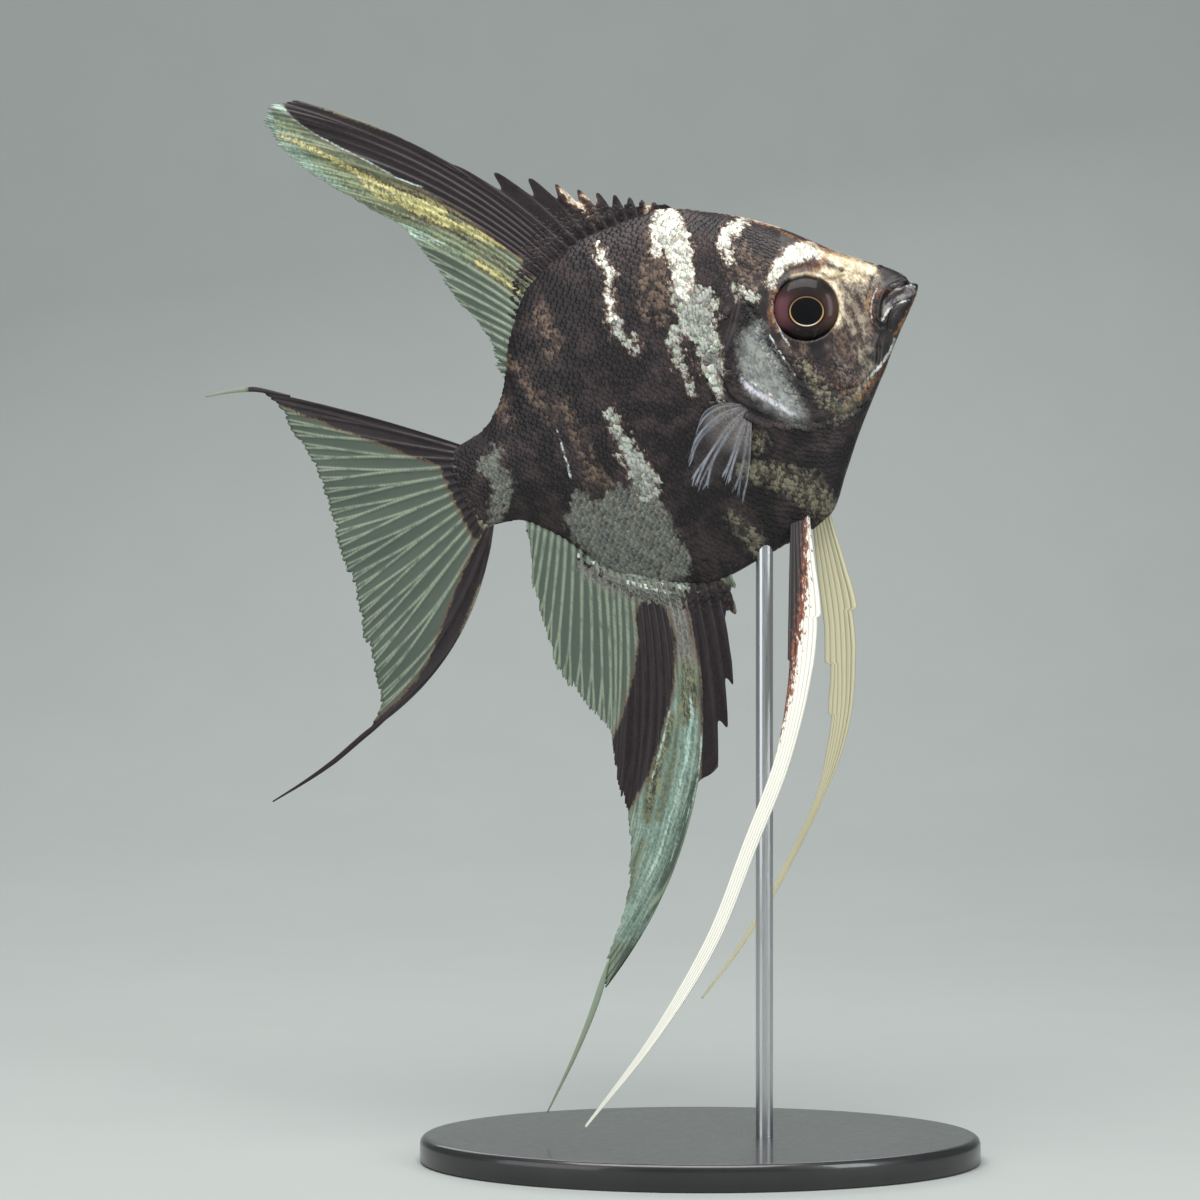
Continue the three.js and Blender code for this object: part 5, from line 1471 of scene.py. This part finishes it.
# %% [markdown]
# ### The pelvic feelers
#
# The pelvic fins of an angelfish are folded to long feelers: a spine and five rays lie side
# by side, the hind ones end early, and the first runs on as a white thread. Each is one long
# sheet whose cross-section is a row of rounded ribs.

# %% The shape of a feeler
PELVIC = {
    "right": {
        "path": [(41.9, -2, -25.6), (37.1, -4, -38.4), (32.7, -5.2, -47), (26.2, -6.2, -56.4),
                 (16.7, -7, -66.3), (6, -7.6, -77.1), (-7.6, -8.2, -87), (-22.1, -8.6, -95.2)],
        "width": [(0, 3.0), (0.14, 4.6), (0.25, 3.3), (0.36, 2.4), (0.7, 1.9), (0.82, 1.3),
                  (1, 0.35)],
        "front": [(0.143, 0.55)],
        "rear": [(0.21, 0.3)],
    },
    "left": {
        "path": [(45, 1.8, -26.2), (42.4, 4.4, -38), (39.2, 5.8, -47), (35.8, 7, -54.4),
                 (30.2, 8.2, -62.2), (18.2, 9.4, -73.2), (7.6, 10, -81), (-0.8, 10.2, -86)],
        "width": [(0, 3.0), (0.16, 4.9), (0.32, 3.9), (0.44, 2.5), (0.56, 1.2), (0.8, 0.85),
                  (1, 0.35)],
        "front": [(0.176, 0.8)],
        "rear": [(0.28, 0.85), (0.38, 0.6)],
    },
}


def short_ribs(t, ends):
    """How far an edge stands out just before a rib's end and falls back just after it."""
    out = np.zeros_like(t)
    for at, deep in ends:
        near = (t - at) / 0.07
        out += deep / 2 * np.where(near < 0, np.clip(1 + near, 0, 1), -np.clip(1 - near, 0, 1))
    return out


def feeler(points, widths, front, rear, ribs=6, across=49, rows=300):
    """A pelvic fin's closed mesh: ribs side by side, the foremost the stoutest."""
    points = np.array(points, float)
    chord = np.concatenate([[0], np.cumsum(np.linalg.norm(np.diff(points, axis=0), axis=1))])
    curve = path(*[(s, *p) for s, p in zip(chord / chord[-1], points)])
    t = np.linspace(-0.015, 1, rows)
    middle = curve(t)
    middle[t < 0] = middle[t >= 0][0] + (t[t < 0] * chord[-1])[:, None] * (
        (middle[t >= 0][4] - middle[t >= 0][0]) / np.linalg.norm(
            middle[t >= 0][4] - middle[t >= 0][0]))
    run = unit(np.gradient(middle, axis=0))
    forward = unit(np.cross(run, [0, 1, 0]))
    wide = profile(*widths)(t)
    b = np.linspace(-0.5, 0.5, across)
    shift = b[:, None] * wide
    shift += smooth(0, 0.5, b)[:, None] * short_ribs(t, front)
    shift -= smooth(0, 0.5, -b)[:, None] * short_ribs(t, rear)
    grid = middle[None] + forward[None] * shift[..., None]
    rib = (b + 0.5) * ribs
    crest = np.sqrt(np.clip(1 - (2 * (rib - np.floor(rib)) - 1) ** 2, 0, 1))
    stout = 0.15 + 0.33 * smooth(0.62, 0.95, b + 0.5)
    half = 0.05 + (stout * (0.35 + 0.65 * crest))[:, None] * (0.45 + 0.55 * wide / wide.max())
    rounded = np.sqrt(np.clip(1 - (2 * np.abs(b)) ** 8, 0.04, 1))
    half = half * rounded[:, None] * (1 - 0.6 * smooth(0.6, 1, t))
    made_points, faces = sheet(grid, half)
    marks = {
        "crest": np.tile(np.repeat(crest[:, None], rows, 1).ravel(), 2),
        "reach": np.tile(np.repeat(t[None], across, 0).ravel(), 2),
        "number": np.tile(np.repeat((b + 0.5)[:, None], rows, 1).ravel(), 2),
        "place": made_points,
    }
    return made_points, faces, marks


print("feelers:", ", ".join(PELVIC))

# %% Make the pelvic feelers
def feeler_material(name, pale, shade, dark_share):
    """Cream ribs with painted shade in their grooves, and along the rear edge near the root a dark stripe that frays
    outwards.
    """
    material, tree, shader = new_material(name, Coat_Weight=0.35, Coat_Roughness=0.15)
    place = attribute(tree, "place", "Vector")
    across, reach = attribute(tree, "number"), attribute(tree, "reach")
    # The grooves between the ribs take the darker colour: painted shade.
    groove = step(tree, attribute(tree, "crest"), 0.2, 0.85)
    base = mix(tree, groove, shade, pale)
    lane = node(tree, "ShaderNodeCombineXYZ", {0: sums(tree, "MULTIPLY", across, 9.0),
                                               1: sums(tree, "MULTIPLY", reach, 75.0)})
    fleck = noise(tree, lane.outputs[0], 1.0, 4, 0.7)
    fade = sums(tree, "MULTIPLY_ADD", reach, -2.6, dark_share)
    edge = sums(tree, "SUBTRACT", fade, across)
    edge = sums(tree, "MULTIPLY_ADD", sums(tree, "SUBTRACT", fleck, 0.5), 1.3, edge)
    dark = step(tree, edge, -0.04, 0.06)
    rusty = step(tree, edge, 0.30, 0.1)
    ink = mix(tree, rusty, (0.016, 0.010, 0.010), (0.21, 0.062, 0.030))
    base = mix(tree, dark, base, ink)
    tree.links.new(base, shader.inputs["Base Color"])
    tree.links.new(sums(tree, "MULTIPLY_ADD", fleck, 0.25, 0.28), shader.inputs["Roughness"])
    bump = {"Height": fleck, "Strength": 0.3, "Distance": 0.00005}
    tree.links.new(node(tree, "ShaderNodeBump", bump).outputs[0], shader.inputs["Normal"])
    return material


# The second colour of each is painted shade for the grooves between the ribs.
feeler_finish = {
    "right": feeler_material("white_feeler", (0.84, 0.84, 0.76), (0.60, 0.55, 0.43), 0.88),
    "left": feeler_material("cream_feeler", (0.66, 0.62, 0.42), (0.42, 0.37, 0.22), -0.2),
}
for side_name, fin in PELVIC.items():
    points, faces, marks = feeler(fin["path"], fin["width"], fin["front"], fin["rear"])
    mesh = make_mesh(f"pelvic_feeler_{side_name}", points, faces, marks)
    finish_piece(mesh, feeler_finish[side_name], "fin_pale",
                 [f"fin_pelvic_{side_name}", f"streamer_pelvic_{side_name}"])

# %% [markdown]
# ## The coat of scales
#
# Scales stand in long rows from the gills to the tail, each row half a step behind the next,
# and every scale overlaps the ones behind it like a tile. They are largest on the flank and
# finest on the cheek; the snout and lips have none. A flat bump could hint at them, but real
# plates catch the light on their edges. So a point is set in the skin for each scale, and
# Geometry Nodes puts a small closed plate on each point, turned to lie along the body.

# %% One scale
SCALE_ACROSS = 5
SCALE_ALONG = 5


def scale_leaf():
    """A thin closed plate 1 long, its root at the origin and its round edge towards +X."""
    across = np.linspace(-1, 1, SCALE_ACROSS)
    along = np.linspace(0, 1, SCALE_ALONG)
    b, a = np.meshgrid(across, along, indexing="ij")
    end = 0.55 + 0.45 * np.sqrt(np.clip(1 - b * b, 0, 1))
    x = a * end
    narrow = 1 - 0.12 * smooth(0.6, 1, a)
    y = b * 0.5 * narrow
    z = -0.02 + 0.052 * x - 0.035 * b * b + 0.015 * np.sin(np.pi * a)
    top = np.stack([x, y, z], -1).reshape(-1, 3)
    at = np.arange(SCALE_ACROSS * SCALE_ALONG).reshape(SCALE_ACROSS, SCALE_ALONG)
    rim = rim_of(at)
    under = top[rim] - [0, 0, 0.015]
    low = np.arange(len(rim)) + len(top)
    walls = np.stack([rim, low, np.roll(low, -1), np.roll(rim, -1)], -1)
    rim_share = np.concatenate([np.maximum(a, np.abs(b)).ravel(), np.ones(len(rim))])
    points = np.concatenate([top, under])
    loops = quads(at).tolist() + walls.tolist() + [low.tolist()]
    mesh = bpy.data.meshes.new("scale_leaf")
    mesh.from_pydata((points * MM).tolist(), [], loops)
    mesh.flip_normals()
    mesh.shade_smooth()
    add_attributes(mesh, {"rim": rim_share, "leaf": points * [1, 1, 0]})
    return add_object("scale_leaf", mesh)


leaf = scale_leaf()
print("one scale:", sum(len(p.vertices) - 2 for p in leaf.data.polygons), "triangles")

# %% Where the scales stand
# millimetres from one scale to the next, along the fish and up its flank
scale_step = profile(
    (-3, 0.8), (6, 0.84), (14, 0.98), (36, 0.98), (44, 0.82), (52, 0.62), (62, 0.55)
)
scale_row = profile((-3, 0.96), (6, 1.0), (14, 1.2), (36, 1.2), (44, 1.0), (52, 0.78), (62, 0.7))
bare_front = profile(
    (-14, 60), (-9, 59.2), (-5, 56.5), (-2, 51.2), (3, 49.0), (8, 50.2), (11, 52.5), (14, 56),
    (20, 57),
)
RING_INDEX = np.arange(BODY_SIDES + 1)
LEVEL_INDEX = np.array([np.interp(0, row, np.arange(BODY_SIDES)) for row in TURNS])


def on_skin(x, arc, side):
    """The place and normal on the skin at x and this far up the flank from its widest level."""
    i = np.interp(x, STATIONS, np.arange(len(STATIONS)))
    low = np.clip(np.floor(i).astype(int), 0, len(STATIONS) - 2)
    share = i - low
    girth = np.interp(x, STATIONS, GIRTHS)
    level = np.interp(x, STATIONS, LEVEL_INDEX)
    around = level + arc / girth * BODY_SIDES
    around = np.where(side > 0, around, BODY_SIDES - around)
    whole = np.floor(around).astype(int)
    part = around - whole

    def blend(grid):
        near = grid[low, whole % BODY_SIDES] * (1 - part)[:, None]
        near += grid[low, (whole + 1) % BODY_SIDES] * part[:, None]
        next_ring = grid[low + 1, whole % BODY_SIDES] * (1 - part)[:, None]
        next_ring += grid[low + 1, (whole + 1) % BODY_SIDES] * part[:, None]
        return near * (1 - share)[:, None] + next_ring * share[:, None]

    return blend(SKIN), blend(SHAPED_NORMAL)


around = np.roll(SKIN, -1, 1) - np.roll(SKIN, 1, 1)
SHAPED_NORMAL = unit(np.cross(around, np.gradient(SKIN, axis=0)))
SHAPED_NORMAL *= np.sign((SHAPED_NORMAL * SKIN_NORMAL).sum(-1, keepdims=True))
print("skin normals:", SHAPED_NORMAL.shape)

# %% Scales on one flank
MAP_START, MAP_LONG, MAP_HIGH = 4, 78, 76  # the coat's map spans the fish, in millimetres


def map_seat(x, arc):
    """Where a scale's patch lies on the coat's map: along the fish, and up its flank."""
    return np.stack([(x + MAP_START) / MAP_LONG, 0.5 + arc / MAP_HIGH, np.zeros(len(x))], -1)


def scale_seats(side, seed):
    """Every scale of one flank: place, normal, direction to the tail, size, tone, map seat."""
    luck = np.random.default_rng(seed)
    fine = np.linspace(-2.6, 61, 3000)
    gone = np.concatenate([[0], np.cumsum(np.diff(fine) * 2 / scale_step(fine[1:]))])
    columns = np.arange(1, int(gone[-1]))
    rows = np.arange(-90, 91)
    m, k = np.meshgrid(columns, rows, indexing="ij")
    even = (m + k) % 2 == 0
    m, k = m[even], k[even]
    x = np.interp(m, gone, fine)
    girth = np.interp(x, STATIONS, GIRTHS)
    level = np.interp(x, STATIONS, LEVEL_INDEX)
    x = x + luck.normal(0, 0.07, len(x))
    arc = k * scale_row(x) / 2 + luck.normal(0, 0.06, len(x))
    room_up = (BODY_SIDES / 2 - level) * girth / BODY_SIDES - arc
    room_down = level * girth / BODY_SIDES + arc
    room = np.minimum(room_up, room_down)
    keep = room > 0.55
    x, arc, k, room = x[keep], arc[keep], k[keep], room[keep]
    place, normal = on_skin(x, arc, side)
    ahead, _ = on_skin(x + 0.3, (k * scale_row(x + 0.3) / 2), side)
    behind, _ = on_skin(x - 0.3, (k * scale_row(x - 0.3) / 2), side)
    along = behind - ahead
    eye = np.hypot(place[:, 0] - EYE_AT.x, place[:, 2] - EYE_AT.z)
    away, hand = line_distance(place[:, 0], place[:, 2], GILL_EDGE)
    on_cover = (hand > 0) & (place[:, 0] > 39.5)
    keep = (eye > 6.3) & (place[:, 0] < bare_front(place[:, 2]))
    keep &= ~(on_cover & (away < 1.5)) & ~((hand <= 0) & (away < 0.15))
    keep &= inside_chains(place[:, 0], place[:, 2], MARKS["pearl"]) < 0.3
    size = 1.5 * scale_step(x) * (0.72 + 0.28 * smooth(0.5, 2.4, room))
    size *= np.where(on_cover, 0.86, 1.0) * luck.normal(1, 0.07, len(x))
    shiny = inside_chains(place[:, 0], place[:, 2], MARKS["silver"])
    size *= 1 + 0.1 * smooth(-1, 1, shiny)
    flat = 1 - 0.3 * smooth(-0.5, 1, shiny)
    size = np.stack([size, size, size * flat], -1)
    along = unit(along)
    spin = luck.normal(0, 0.1, len(x))
    along += np.cross(normal, along) * spin[:, None]
    found = {
        "place": place, "normal": normal, "along": along, "size": size,
        "tone": luck.uniform(0, 1, len(x)), "seat": map_seat(x, arc),
    }
    return {name: values[keep] for name, values in found.items()}

# %% The tree that plants the scales
PATCH = 0.003  # how wide each scale's patch is on the map


def coat_tree():
    tree = bpy.data.node_groups.new("scale_coat", "GeometryNodeTree")
    face = tree.interface
    face.new_socket("Geometry", in_out="INPUT", socket_type="NodeSocketGeometry")
    face.new_socket("Scale", in_out="INPUT", socket_type="NodeSocketObject")
    face.new_socket("Patch", in_out="INPUT", socket_type="NodeSocketFloat")
    face.new_socket("Finish", in_out="INPUT", socket_type="NodeSocketMaterial")
    face.new_socket("Geometry", in_out="OUTPUT", socket_type="NodeSocketGeometry")
    given = tree.nodes.new("NodeGroupInput").outputs

    def named(label, kind):
        read = node(tree, "GeometryNodeInputNamedAttribute", data_type=kind)
        read.inputs["Name"].default_value = label
        return read.outputs["Attribute"]

    turn = node(tree, "FunctionNodeAxesToRotation", primary_axis="Z", secondary_axis="X")
    tree.links.new(named("normal", "FLOAT_VECTOR"), turn.inputs[0])
    tree.links.new(named("along", "FLOAT_VECTOR"), turn.inputs[1])
    plate = node(tree, "GeometryNodeObjectInfo", {"Object": given["Scale"]})
    planted = node(tree, "GeometryNodeInstanceOnPoints", {
        "Points": given["Geometry"], "Instance": plate.outputs["Geometry"],
        "Rotation": turn.outputs[0], "Scale": named("size", "FLOAT_VECTOR"),
    })
    real = node(tree, "GeometryNodeRealizeInstances", {"Geometry": planted.outputs[0]})
    spread = node(tree, "ShaderNodeVectorMath", operation="SCALE")
    tree.links.new(named("leaf", "FLOAT_VECTOR"), spread.inputs[0])
    tree.links.new(given["Patch"], spread.inputs["Scale"])
    mapped = node(tree, "ShaderNodeVectorMath", {0: named("seat", "FLOAT_VECTOR"), 1: spread},
                  operation="ADD")
    store = node(tree, "GeometryNodeStoreNamedAttribute", data_type="FLOAT2", domain="CORNER")
    store.inputs["Name"].default_value = "OFBake"
    tree.links.new(real.outputs[0], store.inputs["Geometry"])
    tree.links.new(mapped.outputs[0], store.inputs["Value"])
    dressed = node(tree, "GeometryNodeSetMaterial",
                   {"Geometry": store.outputs[0], "Material": given["Finish"]})
    out = tree.nodes.new("NodeGroupOutput")
    tree.links.new(dressed.outputs[0], out.inputs[0])
    return tree


print("one scale's patch on the map:", PATCH)

# %% Growing plain meshes
def grow_from(tree, mesh, values):
    """The plain mesh that a Geometry Nodes tree makes from a mesh, with these inputs."""
    holder = add_object("grower", mesh)
    grower = holder.modifiers.new("grower", "NODES")
    grower.node_group = tree
    for item in tree.interface.items_tree:
        if item.in_out == "INPUT" and item.name in values:
            grower[item.identifier] = values[item.name]
    graph = bpy.context.evaluated_depsgraph_get()
    grown = bpy.data.meshes.new_from_object(holder.evaluated_get(graph))
    bpy.data.objects.remove(holder)
    return grown


def mesh_places(mesh):
    """A mesh's points, back in the fish's axes, in millimetres."""
    flat = np.zeros(len(mesh.vertices) * 3)
    mesh.vertices.foreach_get("co", flat)
    return (flat.reshape(-1, 3) - np.array(ORIGIN)) @ np.array(TURN) / MM

# %% Scales on the bases of the upright fins
FIN_SCALE = 1.12  # how long a scale is at a fin's root, in millimetres
FIN_ROW = 0.42  # from one row of scales to the next, up the fin
FIN_STEP = 0.55  # from one scale to the next, along the fin's root


def columns_of(rays):
    """How many columns of points a fin's mesh has."""
    return (len(rays["soft"]) - 1) * CELLS + 1


def fin_seats(part, columns, side, edge, depth, seed):
    """Scales on one face of a fin, from its root out to some depth, all pointing outwards."""
    luck = np.random.default_rng(seed)
    points = part[0]
    halves = points.reshape(2, columns, -1, 3)
    face = halves[0] if (halves[0][..., 1] - halves[1][..., 1]).mean() * side > 0 else halves[1]
    reach = part[2]["reach"].reshape(2, columns, -1)[0]
    root = np.array([[np.interp(0, r, f[:, i]) for i in range(3)] for f, r in zip(face, reach)])
    gone = np.concatenate([[0], np.cumsum(np.linalg.norm(np.diff(root, axis=0), axis=1))])
    rows = np.arange(0, int(depth(root[:, 0]).max() / FIN_ROW))
    steps = np.arange(0.6, gone[-1] - 0.4, FIN_STEP)
    m, k = np.meshgrid(np.arange(len(steps)), rows, indexing="ij")
    even = (m + k) % 2 == 0
    m, k = m[even], k[even]
    column = np.interp(steps[m] + luck.normal(0, 0.05, len(m)), gone, np.arange(columns))
    whole = np.clip(np.round(column).astype(int), 0, columns - 1)
    length = np.linalg.norm(face[whole, -1] - root[whole], axis=1)
    out = -0.25 + FIN_ROW * k + luck.normal(0, 0.05, len(m))
    line = face[whole]
    t = np.array([np.interp(o, r, np.arange(len(r))) for o, r in zip(out / length, reach[whole])])
    low = np.clip(t.astype(int), 0, line.shape[1] - 2)
    pick = np.arange(len(m))
    share = (t - low)[:, None]
    place = line[pick, low] * (1 - share) + line[pick, low + 1] * share
    along = unit(unit(line[pick, low + 1] - line[pick, low]) + [-0.35, 0, 0])
    deep = np.minimum(depth(place[:, 0]), 0.4 * length)
    keep = (deep > 0.6) & (out < deep + luck.normal(0, 0.3, len(m)))
    fade = 1 - 0.45 * np.clip(out / depth(place[:, 0]), 0, 1)
    turned = np.zeros(place.shape)
    turned[:, 1] = side
    x, arc = root[whole][:, 0], edge * (29 + np.clip(out, 0, 7))
    size = np.repeat(FIN_SCALE * fade[:, None], 3, 1)
    found = {
        "place": place, "normal": turned, "along": along, "size": size,
        "tone": luck.uniform(0, 1, len(m)), "seat": map_seat(x, arc),
    }
    return {name: values[keep] for name, values in found.items()}


back_depth = profile((8, 0.2), (14, 0.5), (18, 1.6), (22, 5), (28, 4.6), (34, 3), (40, 1.2))
belly_depth = profile((2, 0.2), (8, 0.4), (12, 1.2), (16, 2.6), (22, 3.4), (26, 2.6), (30, 1.2))

# %% Grow the coat
COAT_PARTINGS = (-9, 17, 26.5, 35.5, 46, 90)
SCALE_TREE = coat_tree()


def coat_piece(name, seats, slot):
    count = len(seats["size"])
    mesh = bpy.data.meshes.new(name + "_seats")
    mesh.from_pydata(to_frame(seats["place"]).tolist(), [], [])
    turned = {label: seats[label] @ np.array(TURN).T for label in ("normal", "along")}
    kept = {"size": seats["size"], "tone": seats["tone"], "seat": seats["seat"], **turned}
    add_attributes(mesh, kept)
    grown = grow_from(SCALE_TREE, mesh, {"Scale": leaf, "Patch": PATCH, "Finish": scaled_skin})
    grown.name = name
    where = mesh_places(grown)
    add_attributes(grown, {"place": where, **mark_fields(where)})
    print(f"{name}: {count} scales")
    return finish_piece(grown, scaled_skin, slot)


for side, side_name in ((1, "left"), (-1, "right")):
    groups = [
        scale_seats(side, 40 + side),
        fin_seats(dorsal, columns_of(dorsal_rays), side, 1, back_depth, 50 + side),
        fin_seats(anal, columns_of(anal_rays), side, -1, belly_depth, 60 + side),
    ]
    seats = {label: np.concatenate([g[label] for g in groups]) for label in groups[0]}
    for number, (start, end) in enumerate(zip(COAT_PARTINGS, COAT_PARTINGS[1:]), 1):
        chosen = (seats["place"][:, 0] >= start) & (seats["place"][:, 0] < end)
        part_seats = {label: values[chosen] for label, values in seats.items()}
        coat_piece(f"scales_{side_name}_{number}", part_seats, "skin_dark")
bpy.data.objects.remove(leaf)

# %% [markdown]
# ## The stand
#
# The stand must not compete with the fish: a black acrylic plate with an eased edge, and one
# steel rod. The solids of both have the right shape, so the rod keeps its solid and gets a
# brushed finish; the plate is turned again with more steps, because its coarse rim would show.

# %% Make the plate
low_corner, high_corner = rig.box("stand_base")
PLATE_HALF = Vector(((high_corner - low_corner).x / 2, (high_corner - low_corner).y / 2, 0))
PLATE_TOP = high_corner.z
PLATE_EASE = 0.0012


def plate_rings():
    turn = np.linspace(0, 2 * np.pi, 192, endpoint=False)
    ease = np.linspace(0, np.pi / 2, 9)
    rows = [(0.02, 0.0), (0.96, 0.0), (1.0 - 0.0004 / PLATE_HALF.x, 0.0), (1.0, 0.0004)]
    inset = [(1 - PLATE_EASE * (1 - np.cos(e)) / PLATE_HALF.x,
              PLATE_TOP - PLATE_EASE * (1 - np.sin(e))) for e in ease]
    rows += inset
    rows += [(s, PLATE_TOP) for s in (0.955, 0.8, 0.5, 0.2, 0.02)]
    rings = [np.stack([share * PLATE_HALF.x * np.cos(turn), share * PLATE_HALF.y * np.sin(turn),
                       np.full(len(turn), height)], -1) for share, height in rows]
    return np.array(rings)


plate_points, plate_faces = tube_of(plate_rings())
plate_mesh = smooth_mesh("plinth", plate_points, faces_out(plate_points, plate_faces))

acrylic, tree, shader = new_material(
    "black_acrylic", Coat_Weight=0.5, Coat_Roughness=0.06, Specular_IOR_Level=0.5
)
where = node(tree, "ShaderNodeTexCoord").outputs["Object"]
haze = noise(tree, where, 900.0, 4, 0.6)
dust = noise(tree, where, 60.0, 3, 0.6)
tint = mix(tree, step(tree, dust, 0.35, 0.75), (0.010, 0.010, 0.011), (0.020, 0.020, 0.021))
tree.links.new(tint, shader.inputs["Base Color"])
tree.links.new(sums(tree, "MULTIPLY_ADD", haze, 0.18, 0.22), shader.inputs["Roughness"])
finish_piece(plate_mesh, acrylic, "stand_plinth", ["stand_base"])

# %% Finish the rod
steel, tree, shader = new_material("brushed_steel", Metallic=1.0)
where = node(tree, "ShaderNodeTexCoord").outputs["Object"]
brushed = noise(tree, where, 1.0, 4, 0.6, stretch=(9000, 9000, 300))
tint = mix(tree, brushed, (0.42, 0.43, 0.44), (0.66, 0.67, 0.68))
tree.links.new(tint, shader.inputs["Base Color"])
tree.links.new(sums(tree, "MULTIPLY_ADD", brushed, 0.22, 0.2), shader.inputs["Roughness"])
bump = {"Height": brushed, "Strength": 0.15, "Distance": 0.00002}
tree.links.new(node(tree, "ShaderNodeBump", bump).outputs[0], shader.inputs["Normal"])
rod = frame["nodes"]["stand_rod"]
rod.data.materials.clear()
rod.data.materials.append(steel)
print("rod finish:", steel.name)

# %% [markdown]
# ## Studio
#
# A pale sweep carries floor and backdrop without a line between them. A large soft light from
# above does what daylight does in a tank, a narrower one from the side draws the scales, and
# a weak fill keeps the black from closing up. The camera looks square at the right flank.

# %% The sweep
SWEEP = [(-0.9, 0.0), (0.25, 0.0), (0.42, 0.012), (0.55, 0.06), (0.62, 0.14), (0.66, 0.3),
         (0.67, 0.6), (0.67, 1.1)]


def sweep_mesh():
    share = np.linspace(0, 1, len(SWEEP))
    curve = path(*[(s, 0.0, y, z) for s, (y, z) in zip(share, SWEEP)])
    line = curve(np.linspace(0, 1, 60))
    sides = np.array([-1.3, 1.3])
    grid = np.repeat(line[None], 2, axis=0)
    grid[..., 0] = sides[:, None]
    return smooth_mesh("sweep", grid.reshape(-1, 3), quads(np.arange(120).reshape(2, 60)))


sweep = add_object("sweep", sweep_mesh())
paper, tree, shader = new_material("pale_paper", Roughness=0.85, Specular_IOR_Level=0.2)
where = node(tree, "ShaderNodeTexCoord").outputs["Object"]
tint = mix(tree, noise(tree, where, 40.0, 3), (0.400, 0.430, 0.418), (0.425, 0.455, 0.440))
tree.links.new(tint, shader.inputs["Base Color"])
sweep.data.materials.append(paper)
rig.stage(sweep)

# %% Lights
AIM = Vector((-0.015, 0.0, 0.0841))


def area_light(name, place, size, power, tint=(1, 1, 1)):
    data = bpy.data.lights.new(name, "AREA")
    data.shape = "RECTANGLE"
    data.size, data.size_y = size
    data.energy = power
    data.color = tint
    lamp = add_object(name, data)
    lamp.location = Vector(place)
    lamp.rotation_euler = (AIM - lamp.location).to_track_quat("-Z", "Y").to_euler()


area_light("overhead", (-0.05, -0.24, 0.60), (0.5, 0.4), 4.4, (1.0, 0.985, 0.96))
area_light("side", (0.42, -0.42, 0.26), (0.16, 0.4), 1.5, (0.94, 0.98, 1.0))
area_light("fill", (-0.5, -0.5, 0.24), (0.5, 0.5), 1.5, (0.97, 0.98, 1.0))
area_light("back", (-0.1, 0.45, 0.45), (0.6, 0.3), 1.4)

world = bpy.data.worlds.new("studio")
bpy.context.scene.world = world
world.use_nodes = True
world.node_tree.nodes["Background"].inputs["Color"].default_value = (0.9, 0.95, 1.0, 1)
world.node_tree.nodes["Background"].inputs["Strength"].default_value = 0.22
print("lights:", len(bpy.data.lights))

# %% Camera
FRAME_WIDE = 0.18
CAMERA_BACK = 0.45
camera_data = bpy.data.cameras.new("camera")
camera_data.sensor_width = 36.0
camera_data.lens = 36.0 * CAMERA_BACK / FRAME_WIDE
camera_data.clip_start = 0.02
camera = add_object("camera", camera_data)
camera.location = AIM + Vector((0, -CAMERA_BACK, 0))
camera.rotation_euler = (math.radians(90), 0, 0)
bpy.context.scene.camera = camera
bpy.context.scene.view_settings.view_transform = "Standard"
print("the camera sees", FRAME_WIDE, "m at", CAMERA_BACK, "m")

# %% Measure and finish
def plain(box):
    return [[float(c) for c in corner] for corner in box]


with open("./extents.json", "w") as sizes:
    json.dump({"cad": plain(cad_box), "visual": plain(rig.bounds())}, sizes)
print(open("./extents.json").read())
